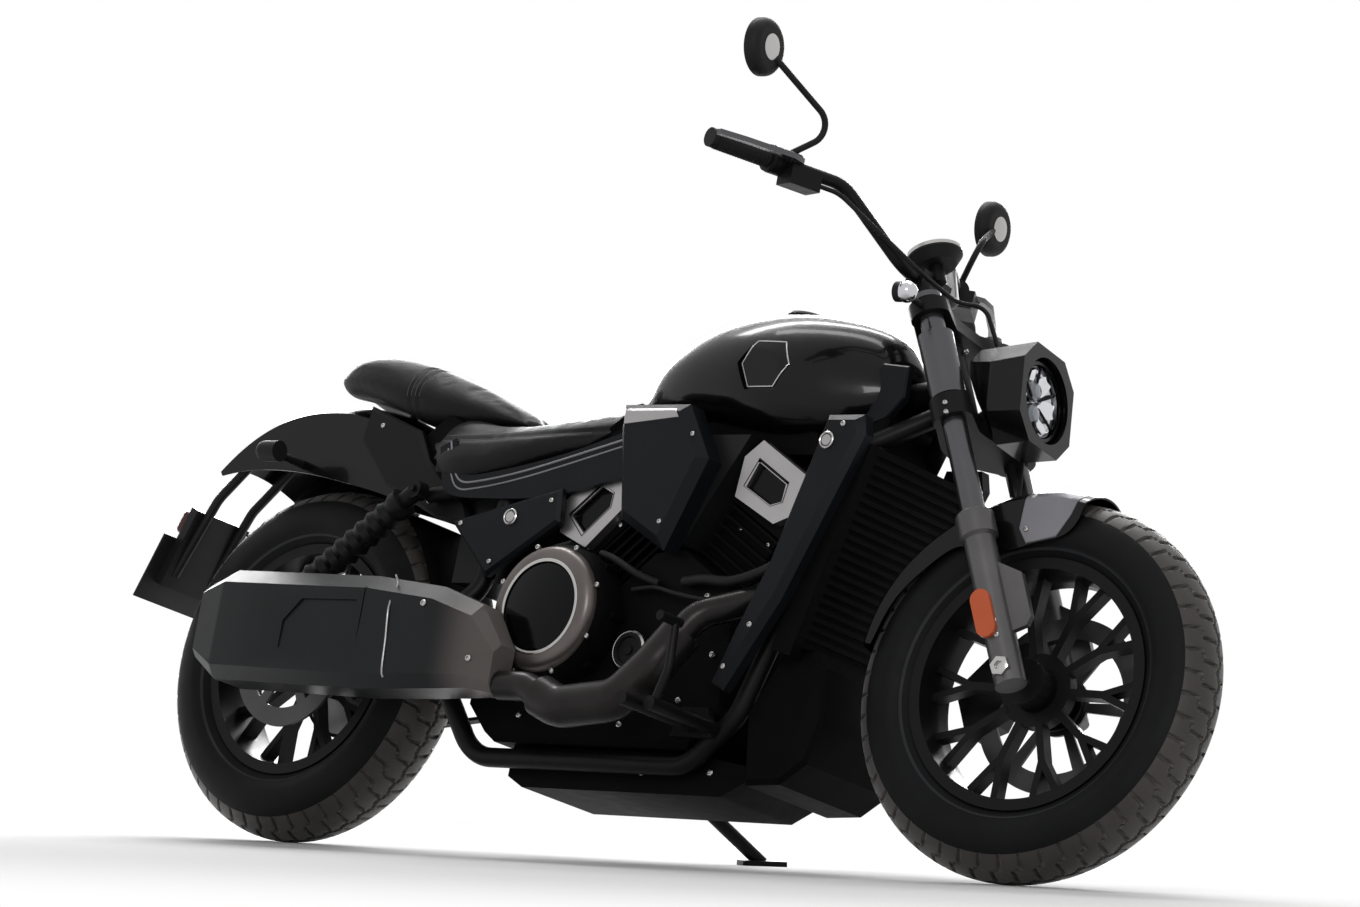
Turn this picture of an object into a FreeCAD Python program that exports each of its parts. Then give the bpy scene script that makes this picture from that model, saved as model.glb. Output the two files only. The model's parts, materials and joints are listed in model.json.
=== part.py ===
import FreeCAD, Part
import math
import os
import re
from types import SimpleNamespace

import Sketcher
from FreeCAD import Placement, Rotation, Vector

# Cruiser motorcycle, leaning on its side stand with the bars turned a little to the left.
# Lengths are millimetres and angles degrees. Each piece is drawn on the upright machine:
# X runs forward from the rear axle, Y to the rider's left, Z up from the ground.
# One placement then leans the whole machine, and one more turns what steers.

SIZES = {
    # Stance and driving sizes
    "wheelbase": 1620,
    "lean_angle": 13,
    "steer_angle": 8,
    "rake_angle": 26,
    "fork_offset": 36,
    "seat_gap": 0.3,
    "pin_gap": 0.8,
    "running_gap": 6,
    "overrun": 5,
    # Tyres and rims
    "front_tyre_radius": 320,
    "front_tyre_width": 130,
    "rear_tyre_radius": 323,
    "rear_tyre_width": 150,
    "front_section": 107,
    "rear_section": 110,
    "bead_depth": 13,
    "front_bead_half": 44,
    "rear_bead_half": 52,
    "flange_thick": 5,
    "barrel_thick": 10,
    "hub_radius": 38,
    "hub_flange_radius": 62,
    "hub_flange_thick": 12,
    "hub_half": 58,
    "spoke_count": 10,
    "spoke_width": 13,
    "spoke_thick": 26,
    "spoke_fork_radius": 122,
    "spoke_spread": 26,
    "axle_radius": 9,
    "front_disc_radius": 150,
    "rear_disc_radius": 130,
    "disc_band": 34,
    "disc_thick": 5,
    "disc_plane": 72,
    "disc_carrier_radius": 52,
    # Fork and steering head
    "fork_half": 108,
    "fork_tube_radius": 20.5,
    "fork_top": 705,
    "slider_radius": 26,
    "slider_foot": -26,
    "slider_top": 245,
    "dust_cap_radius": 32,
    "dust_cap_top": 290,
    "shroud_radius": 30,
    "shroud_low": 508,
    "shroud_high": 628,
    "fork_cap_radius": 24,
    "clamp_low": 464,
    "clamp_thick": 40,
    "clamp_high": 662,
    "upper_clamp_thick": 26,
    "clamp_eye_radius": 34,
    "web_back": 30,
    "web_front": 14,
    "stem_radius": 15,
    "head_tube_radius": 33,
    "bracket_thick": 12,
    "hose_radius": 4,
    "hose_turn_radius": 45,
    "bracket_reach": 62,
    "bracket_low": 62,
    "bracket_high": 190,
    "fender_boss_radius": 9,
    "fender_boss_height": 238,
    "front_axle_half": 137,
    "reflector_length": 85,
    "reflector_width": 34,
    "reflector_thick": 8,
    "reflector_height": 98,
    # Front fender, by radius from the front axle
    "front_crown_radius": 338,
    "front_fender_half": 74,
    "front_shoulder_drop": 30,
    "fender_thick": 3,
    # Bars and what they carry
    "bar_radius": 11,
    "bar_centre_back": 382,
    "bar_centre_z": 1012,
    "bar_flat_half": 88,
    "bar_bend_back": 470,
    "bar_bend_y": 185,
    "bar_bend_z": 1120,
    "bar_end_back": 572,
    "bar_end_y": 440,
    "bar_end_z": 1098,
    "bar_turn_radius": 50,
    "riser_radius": 17,
    "grip_radius": 16.5,
    "grip_length": 122,
    "grip_flange_radius": 23,
    "grip_flange_thick": 6,
    "housing_radius": 24,
    "housing_length": 52,
    "reservoir_length": 62,
    "reservoir_width": 40,
    "reservoir_height": 34,
    "lever_length": 165,
    "lever_reach": 62,
    "lever_thick": 9,
    "lever_width": 14,
    "mirror_stem_radius": 5.5,
    "mirror_knee_back": 461,
    "mirror_knee_y": 250,
    "mirror_knee_z": 1190,
    "mirror_head_back": 524,
    "mirror_head_y": 400,
    "mirror_head_z": 1277,
    "mirror_radius": 49,
    "mirror_depth": 24,
    "dial_radius": 48,
    "dial_depth": 26,
    "dial_back": 385,
    "dial_z": 1072,
    "dial_tilt": 25,
    # Headlight and front signals
    "lamp_back": 120,
    "lamp_z": 815,
    "lamp_tip": 8,
    "lamp_ring_radius": 72,
    "lamp_lens_radius": 61,
    "lamp_ring_depth": 24,
    "lamp_dome": 16,
    "cowl_front_half": 87,
    "cowl_back_half": 66,
    "cowl_length": 105,
    "cowl_back_rise": 47,
    "cowl_lip": 16,
    "front_signal_radius": 17,
    "front_signal_length": 30,
    "front_signal_half": 200,
    # Frame
    "tube_radius": 17,
    "backbone_radius": 22,
    "cradle_half": 118,
    "cradle_low": 144,
    "backbone_back_z": 748,
    "down_top_back": 388,
    "down_top_z": 700,
    "down_foot_x": 1105,
    "down_rise": 90,
    "pivot_half": 162,
    "upright_half": 122,
    "upright_top_x": 500,
    "rail_lean": 55,
    "rail_drop": 110,
    "rail_radius": 13.5,
    "bridge_gap": 29,
    "spring_turns": 9,
    "pivot_x": 440,
    "pivot_z": 335,
    "arm_inner": 108,
    "arm_outer": 138,
    "arm_depth": 52,
    "rear_axle_half": 152,
    "shock_top_x": 312,
    "shock_top_z": 607,
    "shock_low_x": 30,
    "shock_low_z": 385,
    "shock_half": 160,
    "spring_radius": 27,
    "damper_radius": 16,
    "shock_eye_radius": 17,
    "shock_eye_half": 12,
    # Engine
    "crank_x": 925,
    "crank_z": 345,
    "case_half": 140,
    "case_low": 170,
    "case_top": 450,
    "case_back": 520,
    "case_front": 1075,
    "case_step": 60,
    "case_bevel": 14,
    "case_bolt": 7,
    "front_bank_angle": 30,
    "rear_bank_angle": 42,
    "bank_half": 112,
    "bank_length_half": 70,
    "barrel_foot": 150,
    "barrel_top": 262,
    "head_top": 378,
    "fin_count": 6,
    "fin_thick": 5,
    "fin_reach": 12,
    "bank_cover_thick": 20,
    "bank_cover_height": 105,
    "clutch_x": 710,
    "clutch_z": 386,
    "clutch_radius": 118,
    "clutch_disc_radius": 79,
    "clutch_reach": 80,
    "clutch_bolt_count": 8,
    "belly_low": 100,
    "belly_half": 96,
    "belly_back": 600,
    "belly_front": 1165,
    "alternator_x": 745,
    "alternator_z": 345,
    "alternator_radius": 105,
    "alternator_reach": 62,
    # Side covers and radiator
    "airbox_x": 774,
    "airbox_z": 498,
    "airbox_length": 209,
    "airbox_height": 257,
    "airbox_thick": 50,
    "airbox_bevel": 16,
    "panel_x": 404,
    "panel_z": 455,
    "panel_length": 251,
    "panel_height": 158,
    "panel_inner": 142,
    "panel_thick": 16,
    "panel_bevel": 6,
    "intake_x": 748,
    "intake_z": 520,
    "intake_length": 287,
    "intake_height": 192,
    "battery_x": 375,
    "battery_z": 458,
    "battery_length": 225,
    "battery_height": 160,
    "battery_half": 95,
    "radiator_half": 152,
    "radiator_height": 372,
    "radiator_thick": 42,
    "radiator_x": 1243,
    "radiator_z": 515,
    "radiator_lean": 14,
    "radiator_fin_count": 22,
    "guard_x": 1074,
    "guard_z": 262,
    "guard_length": 236,
    "guard_height": 473,
    "guard_bevel": 12,
    "guard_thick": 32,
    # Exhaust
    "seam_share": 0.575,
    "pipe_radius": 25,
    "pipe_turn_radius": 70,
    "pipe_out": 246,
    "pipe_length": 475.4,
    "pipe_low": 206,
    "pipe_rise": 339,
    "shield_radius": 36,
    "muffler_low": 218,
    "muffler_height": 210,
    "muffler_bevel": 22,
    "muffler_inner": 186,
    "muffler_outer": 300,
    "muffler_back": -42,
    "muffler_front": 682,
    "inset_x": 190,
    "inset_z": 282,
    "inset_length": 170,
    "inset_height": 88,
    "inset_depth": 5,
    # Tank and seats
    "tank_back": 722,
    "tank_front_back": 380,
    "tank_low": 728,
    "tank_top": 958,
    "tank_half": 158,
    "cap_radius": 34,
    "cap_height": 14,
    "cap_sink": 6,
    "cap_x": 985,
    "emblem_x": 990,
    "emblem_z": 786,
    "emblem_length": 110,
    "emblem_height": 94,
    "emblem_inner": 151,
    "seat_back": 268,
    "seat_front": 716,
    "seat_low": 612,
    "seat_top": 800,
    "seat_half": 158,
    "seat_channel_half": 144,
    "pillion_back": -36,
    "pillion_front": 440,
    "pillion_low": 752,
    "pillion_top": 886,
    "pillion_half": 124,
    "tail_x": 100,
    "tail_z": 556,
    "tail_length": 310,
    "tail_height": 222,
    "tail_thick": 14,
    "tail_bevel": 6,
    # Rear fender, by radius from the rear axle
    "rear_crown_radius": 478,
    "rear_fender_half": 100,
    "rear_shoulder_drop": 32,
    "plate_width": 200,
    "plate_height": 128,
    "plate_thick": 3,
    "plate_back": 90,
    "plate_drop": 140,
    "plate_tip": 22,
    "tail_lamp_half": 56,
    "tail_lamp_height": 44,
    "tail_lamp_depth": 30,
    "tail_lamp_rise": 72,
    "plate_root_angle": 116,
    "plate_root_sink": 30,
    "plate_knee_back": 104,
    "plate_knee_drop": 104,
    "rear_signal_radius": 19,
    "rear_signal_angle": 98,
    "rear_signal_sink": 125,
    "rear_signal_half": 182,
    # Foot controls
    "peg_x": 1040,
    "peg_z": 205,
    "peg_bracket": 46,
    "peg_out": 338,
    "lever_out": 297,
    "peg_radius": 12,
    "pedal_reach": 55,
    "pedal_rise": 140,
    # Drive
    "belt_front_x": 520,
    "belt_plane": 92,
    "belt_width": 20,
    "belt_thick": 6,
    "rear_pulley_radius": 104,
    "front_pulley_radius": 48,
    # Side stand
    "stand_tip": 30,
    "stand_pivot_x": 800,
    "stand_pivot_y": 165,
    "stand_pivot_z": 150,
    "stand_foot_x": 872,
    "stand_foot_y": 292,
    "stand_leg_radius": 12,
    "stand_foot_length": 78,
    "stand_foot_width": 46,
    "stand_foot_thick": 9,
}

# The fenders' stations: angle up from straight ahead, skirt edge and crown as shares of the crown radius
FRONT_FENDER_SHARES = (
    (80, 0.83, 0.99), (91.5, 0.69, 1.0), (103, 0.665, 1.0), (114.5, 0.68, 1.0), (126, 0.79, 1.0),
    (137.5, 0.82, 1.0), (149, 0.84, 1.0), (160.5, 0.855, 0.995), (172, 0.865, 0.985),
)
REAR_FENDER_SHARES = (
    (52, 0.74, 0.955), (64.5, 0.695, 0.983), (77, 0.675, 0.998), (89.5, 0.685, 1.0),
    (102, 0.72, 0.997), (114.5, 0.78, 0.978), (127, 0.86, 0.945),
)
# The tank's stations along its length: top, bottom and half width as shares of its height and half width
TANK_SHARES = (
    (0.00, 0.40, 0.20, 0.40), (0.07, 0.66, 0.16, 0.58), (0.22, 0.88, 0.12, 0.82), (0.42, 0.985, 0.07, 0.97),
    (0.62, 1.00, 0.00, 1.00), (0.78, 0.95, 0.00, 0.86), (0.90, 0.87, 0.05, 0.66), (1.00, 0.63, 0.20, 0.46),
)
# The muffler's stations: place along it, lower and upper edge, and how far its walls draw in
MUFFLER_SHARES = (
    (0.00, 0.24, 0.86, 1.0), (0.10, 0.04, 0.99, 0.0), (0.58, 0.0, 0.96, 0.0), (0.80, 0.02, 0.88, 0.0),
    (0.93, 0.04, 0.74, 0.2), (1.00, 0.02, 0.42, 1.0),
)
# The exhaust pipe's bends: shares of its length back from the muffler, of its reach outward and of its rise
PIPE_SHARES = (
    (1.0, 0.203, 1.0), (0.939, 0.329, 0.7906), (0.899, 0.537, 0.649), (0.777, 0.829, 0.519), (0.680, 0.959,
                                                                                              0.233),
    (0.5625, 1.0, 0.047), (0.2995, 1.0, 0.0), (0.125, 1.0, 0.100), (0.0, 1.0, 0.100),
)
# The seats' stations: place along each, underside, top and half width
SEAT_SHARES = (
    (0.00, 0.30, 0.66, 0.72), (0.125, 0.04, 0.725, 0.94), (0.25, 0.02, 0.73, 1.0), (0.375, 0.07, 0.73, 1.0),
    (0.50, 0.14, 0.735, 0.99), (0.625, 0.22, 0.77, 0.93), (0.75, 0.30, 0.83, 0.81), (0.875, 0.42, 0.90, 0.62),
    (1.00, 0.80, 0.97, 0.40),
)
PILLION_SHARES = (
    (0.00, 0.62, 0.80, 0.46), (0.125, 0.44, 0.97, 0.82), (0.25, 0.34, 1.00, 0.95), (0.375, 0.18, 0.955, 1.0),
    (0.50, 0.06, 0.86, 1.0), (0.625, 0.02, 0.73, 0.95), (0.75, 0.0, 0.57, 0.86), (0.875, 0.0, 0.38, 0.70),
    (1.00, 0.0, 0.16, 0.44),
)
# The hollow under the rider's seat: places along the seat and heights up it
CHANNEL_SHARES = ((-0.02, 0.56), (0.07, 0.42), (0.25, 0.10), (0.52, 0.20), (0.83, 0.46), (1.02, 0.90))
# The crankcase behind the banks: shares of its length to the crank and of its height
CASE_BACK_SHARES = ((0.57, 0.90), (0.24, 1.0), (0.0, 0.72), (0.0, 0.22), (0.15, 0.0))
# Outlines seen from the side, as shares of each piece's length and height
INTAKE_SHARES = ((0.0, 1.0), (1.0, 1.0), (0.826, 0.53), (0.634, 0.0), (0.547, 0.0), (0.244, 0.44))
EMBLEM_SHARES = ((0.0, 0.5), (0.23, 0.0), (0.77, 0.0), (1.0, 0.5), (0.77, 1.0), (0.23, 1.0))
INSET_SHARES = ((0.0, 0.0), (0.78, 0.0), (1.0, 0.45), (1.0, 1.0), (0.22, 1.0), (0.0, 0.55))
AIRBOX_SHARES = ((0.0, 1.0), (0.70, 1.0), (1.0, 0.63), (0.71, 0.0), (0.19, 0.22), (0.02, 0.81))
PANEL_SHARES = ((0.0, 0.62), (0.42, 0.0), (1.0, 0.62), (0.968, 1.0))
GUARD_SHARES = (
    (0.03, 0.03), (0.15, 0.0), (0.52, 0.33), (1.0, 0.93), (0.96, 1.0), (0.64, 1.0), (0.35, 0.46), (0.16,
                                                                                                   0.22),
)
TAIL_SHARES = ((0.03, 1.0), (0.46, 0.79), (0.57, 0.54), (0.92, 0.20), (1.0, 0.0), (0.72, 0.06),
               (0.26, 0.34), (0.0, 0.72))


def setup():
    """The document and its sheet of named sizes."""
    book = FreeCAD.newDocument("Cruiser")
    table = book.addObject("Spreadsheet::Sheet", "Size")
    for row, (alias, number) in enumerate(SIZES.items(), 1):
        table.set(f"A{row}", alias)
        table.set(f"B{row}", str(number))
        table.setAlias(f"B{row}", alias)
    book.recompute()
    return book, table


doc, sheet = setup()
size = SimpleNamespace(**{alias: float(sheet.get(alias)) for alias in SIZES})
for place in ("bar_centre", "bar_bend", "bar_end", "mirror_knee", "mirror_head", "dial", "lamp", "down_top",
              "tank_front"):
    setattr(size, f"{place}_x", size.wheelbase - getattr(size, f"{place}_back"))
pieces = []


def bound(text):
    """The same formula with each size's name read from the sheet."""
    return re.sub(r"\b([a-z]\w*)\b(?!\()", r"Size.\1", text)


def amount(text):
    """What a formula of named sizes comes to now."""
    found = sheet.evalExpression(bound(text))
    return float(found.Value if hasattr(found, "Value") else found)


def counterclockwise(start, middle, end):
    """The arc through three points as a sketch holds it, and whether that turns its ends about."""
    centre = Part.Arc(start, middle, end).toShape().Curve.Center
    first, last = start - centre, end - centre
    flipped = (middle - start).cross(end - middle).z < 0
    if flipped:
        first, last = last, first
    circle = Part.Circle(centre, Vector(0, 0, 1), first.Length)
    return Part.ArcOfCircle(circle, math.atan2(first.y, first.x), math.atan2(last.y, last.x)), flipped


# How a sketch names an edge's first point and a circle's middle
START, CENTRE = 1, 3


class Body:
    """One piece made of sketches and features, every size bound to the sheet."""

    def __init__(self, label):
        self.body = doc.addObject("PartDesign::Body", label)
        self.body.Label = label
        self.count = 0

    def plane(self, role):
        return [item for item in self.body.Origin.OriginFeatures if item.Role == role][0]

    def name(self, kind):
        self.count += 1
        return f"{self.body.Label}_{kind}_{self.count}"

    def sketch(self, role, outline=(), circles=(), lift="0"):
        """A closed outline and circles; a point marked via bends the lines beside it into one arc."""
        drawing = self.body.newObject("Sketcher::SketchObject", self.name("sketch"))
        drawing.AttachmentSupport = [(self.plane(role), "")]
        drawing.MapMode = "FlatFace"
        drawing.setExpression("AttachmentOffset.Base.z", bound(lift))
        corners = [index for index, point in enumerate(outline) if len(point) == 2]
        spots = [Vector(amount(point[0]), amount(point[1]), 0) for point in outline]
        edges = []
        for order, index in enumerate(corners):
            after = corners[(order + 1) % len(corners)]
            middle = (index + 1) % len(outline)
            start, end = spots[index], spots[after]
            if middle != after and len(outline[middle]) == 3:
                curve, flipped = counterclockwise(start, spots[middle], end)
                edge = drawing.addGeometry(curve, False)
                edges.append((edge, 2 if flipped else 1, 1 if flipped else 2, middle))
            else:
                edge = drawing.addGeometry(Part.LineSegment(start, end), False)
                edges.append((edge, 1, 2, None))
        for order, (edge, first, last, middle) in enumerate(edges):
            following = edges[(order + 1) % len(edges)]
            drawing.addConstraint(Sketcher.Constraint("Coincident", edge, last, following[0], following[1]))
            self.pin(drawing, edge, first, outline[corners[order]])
            if middle is not None:
                mark = drawing.addGeometry(Part.Point(spots[middle]), True)
                self.pin(drawing, mark, START, outline[middle])
                drawing.addConstraint(Sketcher.Constraint("PointOnObject", mark, 1, edge))
        for across, along, radius in circles:
            centre = Vector(amount(across), amount(along), 0)
            ring = drawing.addGeometry(Part.Circle(centre, Vector(0, 0, 1), amount(radius)), False)
            self.pin(drawing, ring, CENTRE, (across, along))
            number = drawing.addConstraint(Sketcher.Constraint("Radius", ring, amount(radius)))
            drawing.setExpression(f"Constraints[{number}]", bound(radius))
        return drawing

    def pin(self, drawing, edge, end, point):
        """Hold one point of a sketch at its two bound distances from the sketch's origin."""
        for kind, text in (("DistanceX", point[0]), ("DistanceY", point[1])):
            number = drawing.addConstraint(Sketcher.Constraint(kind, -1, 1, edge, end, amount(text)))
            drawing.setExpression(f"Constraints[{number}]", bound(text))

    def pad(self, drawing, length, midplane=False, reverse=False):
        feature = self.body.newObject("PartDesign::Pad", self.name("pad"))
        feature.Profile = drawing
        feature.SideType = "Symmetric" if midplane else "One side"
        feature.Reversed = reverse
        feature.setExpression("Length", bound(length))
        return feature

    def pocket(self, drawing, length, midplane=False, reverse=False):
        doc.recompute()
        before = self.body.Shape.Volume
        feature = self.body.newObject("PartDesign::Pocket", self.name("pocket"))
        feature.Profile = drawing
        feature.SideType = "Symmetric" if midplane else "One side"
        feature.Reversed = reverse
        feature.setExpression("Length", bound(length))
        doc.recompute()
        if self.body.Shape.Volume >= before:
            raise RuntimeError(f"{feature.Name} cut nothing")
        return feature

    def turn(self, drawing, axis="H_Axis", angle="360"):
        feature = self.body.newObject("PartDesign::Revolution", self.name("turn"))
        feature.Profile = drawing
        feature.ReferenceAxis = (drawing, [axis])
        feature.setExpression("Angle", bound(angle))
        return feature

    def ring(self, features, role, number):
        feature = self.body.newObject("PartDesign::PolarPattern", self.name("ring"))
        feature.Originals = features
        feature.Axis = (self.plane(role), [""])
        feature.Angle = 360
        feature.setExpression("Occurrences", bound(number))
        self.body.Tip = feature
        return feature

    def row(self, features, role, length, number, reverse=False):
        feature = self.body.newObject("PartDesign::LinearPattern", self.name("row"))
        feature.Originals = features
        feature.Direction = (self.plane(role), [""])
        feature.Reversed = reverse
        feature.setExpression("Length", bound(length))
        feature.setExpression("Occurrences", bound(number))
        self.body.Tip = feature
        return feature

    def mirror(self, features, role="XZ_Plane"):
        feature = self.body.newObject("PartDesign::Mirrored", self.name("mirror"))
        feature.Originals = features
        feature.MirrorPlane = (self.plane(role), [""])
        self.body.Tip = feature
        return feature

    def soften(self, radius, chosen, kind="Fillet"):
        """Round or bevel the edges that the test picks."""
        doc.recompute()
        base = self.body.Tip
        names = [f"Edge{index}" for index, edge in enumerate(base.Shape.Edges, 1) if chosen(edge)]
        if not names:
            raise RuntimeError(f"{self.body.Label} has no edge to soften")
        feature = self.body.newObject(f"PartDesign::{kind}", self.name(kind.lower()))
        feature.Base = (base, names)
        feature.setExpression("Radius" if kind == "Fillet" else "Size", bound(radius))
        return feature


def keep(thing, group="chassis", at=Vector(), turn=Rotation()):
    """Note a piece, what it moves with, and its place on the upright machine."""
    target = thing.body if isinstance(thing, Body) else thing
    pieces.append((target, group, Placement(at, turn)))
    return target


def solid(label, shapes):
    """A piece whose form no sketch or primitive gives, set from its own shapes."""
    feature = doc.addObject("Part::Feature", label)
    feature.Label = label
    feature.Shape = shapes[0] if len(shapes) == 1 else Part.Compound(shapes)
    return feature


def fused(shapes):
    return shapes[0].multiFuse(shapes[1:]).removeSplitter() if len(shapes) > 1 else shapes[0]


def both_sides(shape):
    """The shape and its mirror image across the machine's middle plane."""
    return [shape, shape.mirror(Vector(), Vector(0, 1, 0))]


def wire(points):
    return Part.makePolygon(list(points) + [points[0]])


def loft(wires, ruled=False):
    shape = Part.makeLoft(wires, True, ruled)
    if shape.Volume < 0:
        shape.reverse()
    return shape


def tube(points, radius, bend, bore=0):
    """A round tube along straight runs joined by tangent arcs."""
    edges = []
    start = points[0]
    for before, corner, after in zip(points, points[1:], points[2:]):
        back = (before - corner).normalize()
        ahead = (after - corner).normalize()
        half = back.getAngle(ahead) / 2
        reach = min(bend / math.tan(half), (before - corner).Length * 0.48, (after - corner).Length * 0.48)
        curve = reach * math.tan(half)
        middle = (back + ahead).normalize()
        through = corner + middle * (curve / math.sin(half) - curve)
        entry, leave = corner + back * reach, corner + ahead * reach
        edges.append(Part.LineSegment(start, entry).toShape())
        edges.append(Part.Arc(entry, through, leave).toShape())
        start = leave
    edges.append(Part.LineSegment(start, points[-1]).toShape())
    path = Part.Wire(edges)
    way = (points[1] - points[0]).normalize()
    profile = Part.Wire([Part.Circle(points[0], way, radius).toShape()])
    shape = path.makePipeShell([profile], True, False)
    if bore:
        hollow = path.makePipeShell([Part.Wire([Part.Circle(points[0], way, bore).toShape()])], True, False)
        shape = shape.cut(hollow)
    return shape


def rod(start, end, radius):
    way = end - start
    return Part.makeCylinder(radius, way.Length, start, way)


def block(low, high):
    """A box between two opposite corners."""
    sides = high - low
    return Part.makeBox(sides.x, sides.y, sides.z, low)


def side_plate(points, inner, outer):
    """A flat piece: its outline seen from the side, from one distance off the middle plane to another."""
    face = Part.Face(wire([Vector(x, inner, z) for x, z in points]))
    return face.extrude(Vector(0, outer - inner, 0))


# Where the steered pieces stand: origin at the front axle, X ahead of the fork, Z up the fork
rake = math.radians(size.rake_angle)
fork_up = Vector(-math.sin(rake), 0, math.cos(rake))
fork_ahead = Vector(math.cos(rake), 0, math.sin(rake))
front_axle_at = Vector(size.wheelbase, 0, size.front_tyre_radius)
rear_axle_at = Vector(0, 0, size.rear_tyre_radius)
fork_turn = Rotation(Vector(0, 1, 0), -size.rake_angle)
steer_foot = front_axle_at - fork_ahead * size.fork_offset


def on_fork(ahead, side, height):
    """A point of the fork's own frame, on the upright machine."""
    return front_axle_at + fork_ahead * ahead + Vector(0, side, 0) + fork_up * height


def rim_radii(end):
    """The formulas of a rim's flange and of the seat the tyre's bead lies on."""
    return f"{end}_tyre_radius - {end}_section", f"{end}_tyre_radius - {end}_section - bead_depth"


def tyre(end):
    """A tyre: round crown, bulged walls and a flat seat on the rim."""
    piece = Body(f"{end}_tyre")
    half, bead, top = f"{end}_tyre_width / 2", f"{end}_bead_half", f"{end}_tyre_radius"
    wide = f"{top} - {half}"
    flange, foot = rim_radii(end)
    bulge = f"({flange}) * 0.58 + ({wide}) * 0.42"
    outline = [
        (f"-({bead})", foot), (f"-({bead})", flange),
        (f"-({half}) * 0.916", bulge, "via"),
        (f"-({half})", wide), ("0", top, "via"), (half, wide),
        (f"({half}) * 0.916", bulge, "via"),
        (bead, flange), (bead, foot),
    ]
    piece.turn(piece.sketch("YZ_Plane", outline))
    return piece


def wheel(end):
    """A cast wheel: rim with flanges, hub, and spokes that fork toward the rim."""
    piece = Body(f"{end}_wheel")
    bead = f"{end}_bead_half + seat_gap"
    lip = f"{end}_bead_half + seat_gap + flange_thick"
    flange, foot = rim_radii(end)
    seat = f"{foot} - seat_gap"
    rim = [
        (f"-({lip})", flange), (f"-({bead})", flange), (f"-({bead})", seat),
        (bead, seat), (bead, flange), (lip, flange),
        (lip, f"{foot} - barrel_thick * 0.6"), ("0", f"{foot} - barrel_thick"),
        (f"-({lip})", f"{foot} - barrel_thick * 0.6"),
    ]
    piece.turn(piece.sketch("YZ_Plane", rim))
    bore = "axle_radius + seat_gap"
    hub = [
        ("-hub_half", bore), ("-hub_half", "hub_radius"), ("-hub_flange_thick", "hub_radius"),
        ("-hub_flange_thick", "hub_flange_radius"), ("hub_flange_thick", "hub_flange_radius"),
        ("hub_flange_thick", "hub_radius"), ("hub_half", "hub_radius"), ("hub_half", bore),
    ]
    piece.turn(piece.sketch("YZ_Plane", hub))
    fork, side, edge = "spoke_fork_radius", "spoke_width / 2", f"{foot} - barrel_thick * 0.7"
    spread = "spoke_spread"
    spoke = [
        ("hub_flange_radius * 0.92", f"-({side})"), (fork, f"-({side})"), (edge, f"-({spread}) - {side}"),
        (edge, f"-({spread}) + {side}"), (f"{fork} + spoke_width * 1.2", "0"), (edge, f"{spread} - {side}"),
        (edge, f"{spread} + {side}"), (fork, side), ("hub_flange_radius * 0.92", side),
    ]
    arm = piece.pad(piece.sketch("XZ_Plane", spoke), "spoke_thick", midplane=True)
    piece.ring([arm], "Y_Axis", "spoke_count")
    return piece


def brake_disc(end, side):
    """A disc with a slotted band on a narrow carrier."""
    piece = Body(f"{end}_brake_disc")
    outer = f"{end}_disc_radius"
    lift = f"{-side} * disc_plane - disc_thick / 2"
    drawing = piece.sketch("XZ_Plane", circles=[("0", "0", outer), ("0", "0", f"{outer} - disc_band")],
                           lift=lift)
    piece.pad(drawing, "disc_thick")
    middle = piece.sketch(
        "XZ_Plane", circles=[("0", "0", "disc_carrier_radius"),
                             ("0", "0", "hub_radius + seat_gap")], lift=lift)
    piece.pad(middle, "disc_thick")
    inner, wide = "disc_carrier_radius - 2 * seat_gap", "spoke_width * 0.6"
    bridge = piece.sketch("XZ_Plane", [
        (inner, f"-({wide})"), (f"{outer} - disc_band * 0.8", f"-({wide}) * 1.4"),
        (f"{outer} - disc_band * 0.8", f"{wide} * 1.4"), (inner, wide)], lift=lift)
    arm = piece.pad(bridge, "disc_thick")
    piece.ring([arm], "Y_Axis", "6")
    return piece


def wheels():
    for end, place in (("front", front_axle_at), ("rear", rear_axle_at)):
        group = f"{end}_wheel"
        keep(tyre(end), group, place)
        keep(wheel(end), group, place)
        keep(brake_disc(end, 1 if end == "front" else -1), group, place)


def fork_clamps():
    """Lower and upper yokes on one stem, and the risers that carry the bars."""
    piece = Body("fork_clamps")
    for low, thick in (("clamp_low", "clamp_thick"), ("clamp_high", "upper_clamp_thick")):
        tube_bore = "fork_tube_radius + seat_gap"
        reach, eye, waist = "fork_half + clamp_eye_radius", "clamp_eye_radius", "fork_half * 0.42"
        outline = [
            (eye, "fork_half"), ("0", reach, "via"), (f"-({eye})", "fork_half"),
            ("-fork_offset - web_back * 0.8", waist), ("-fork_offset - web_back", "0", "via"),
            ("-fork_offset - web_back * 0.8", f"-({waist})"),
            (f"-({eye})", "-fork_half"), ("0", f"-({reach})", "via"), (eye, "-fork_half"),
            ("web_front", f"-({waist})"), ("web_front", waist),
        ]
        holes = [("0", "fork_half", tube_bore), ("0", "-fork_half", tube_bore)]
        piece.pad(piece.sketch("XY_Plane", outline, holes, lift=low), thick)
    stem = piece.sketch("XY_Plane", circles=[("-fork_offset", "0", "stem_radius")],
                        lift="clamp_low + overrun")
    piece.pad(stem, "clamp_high - clamp_low")
    keep(piece, "steering", front_axle_at, fork_turn)


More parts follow.
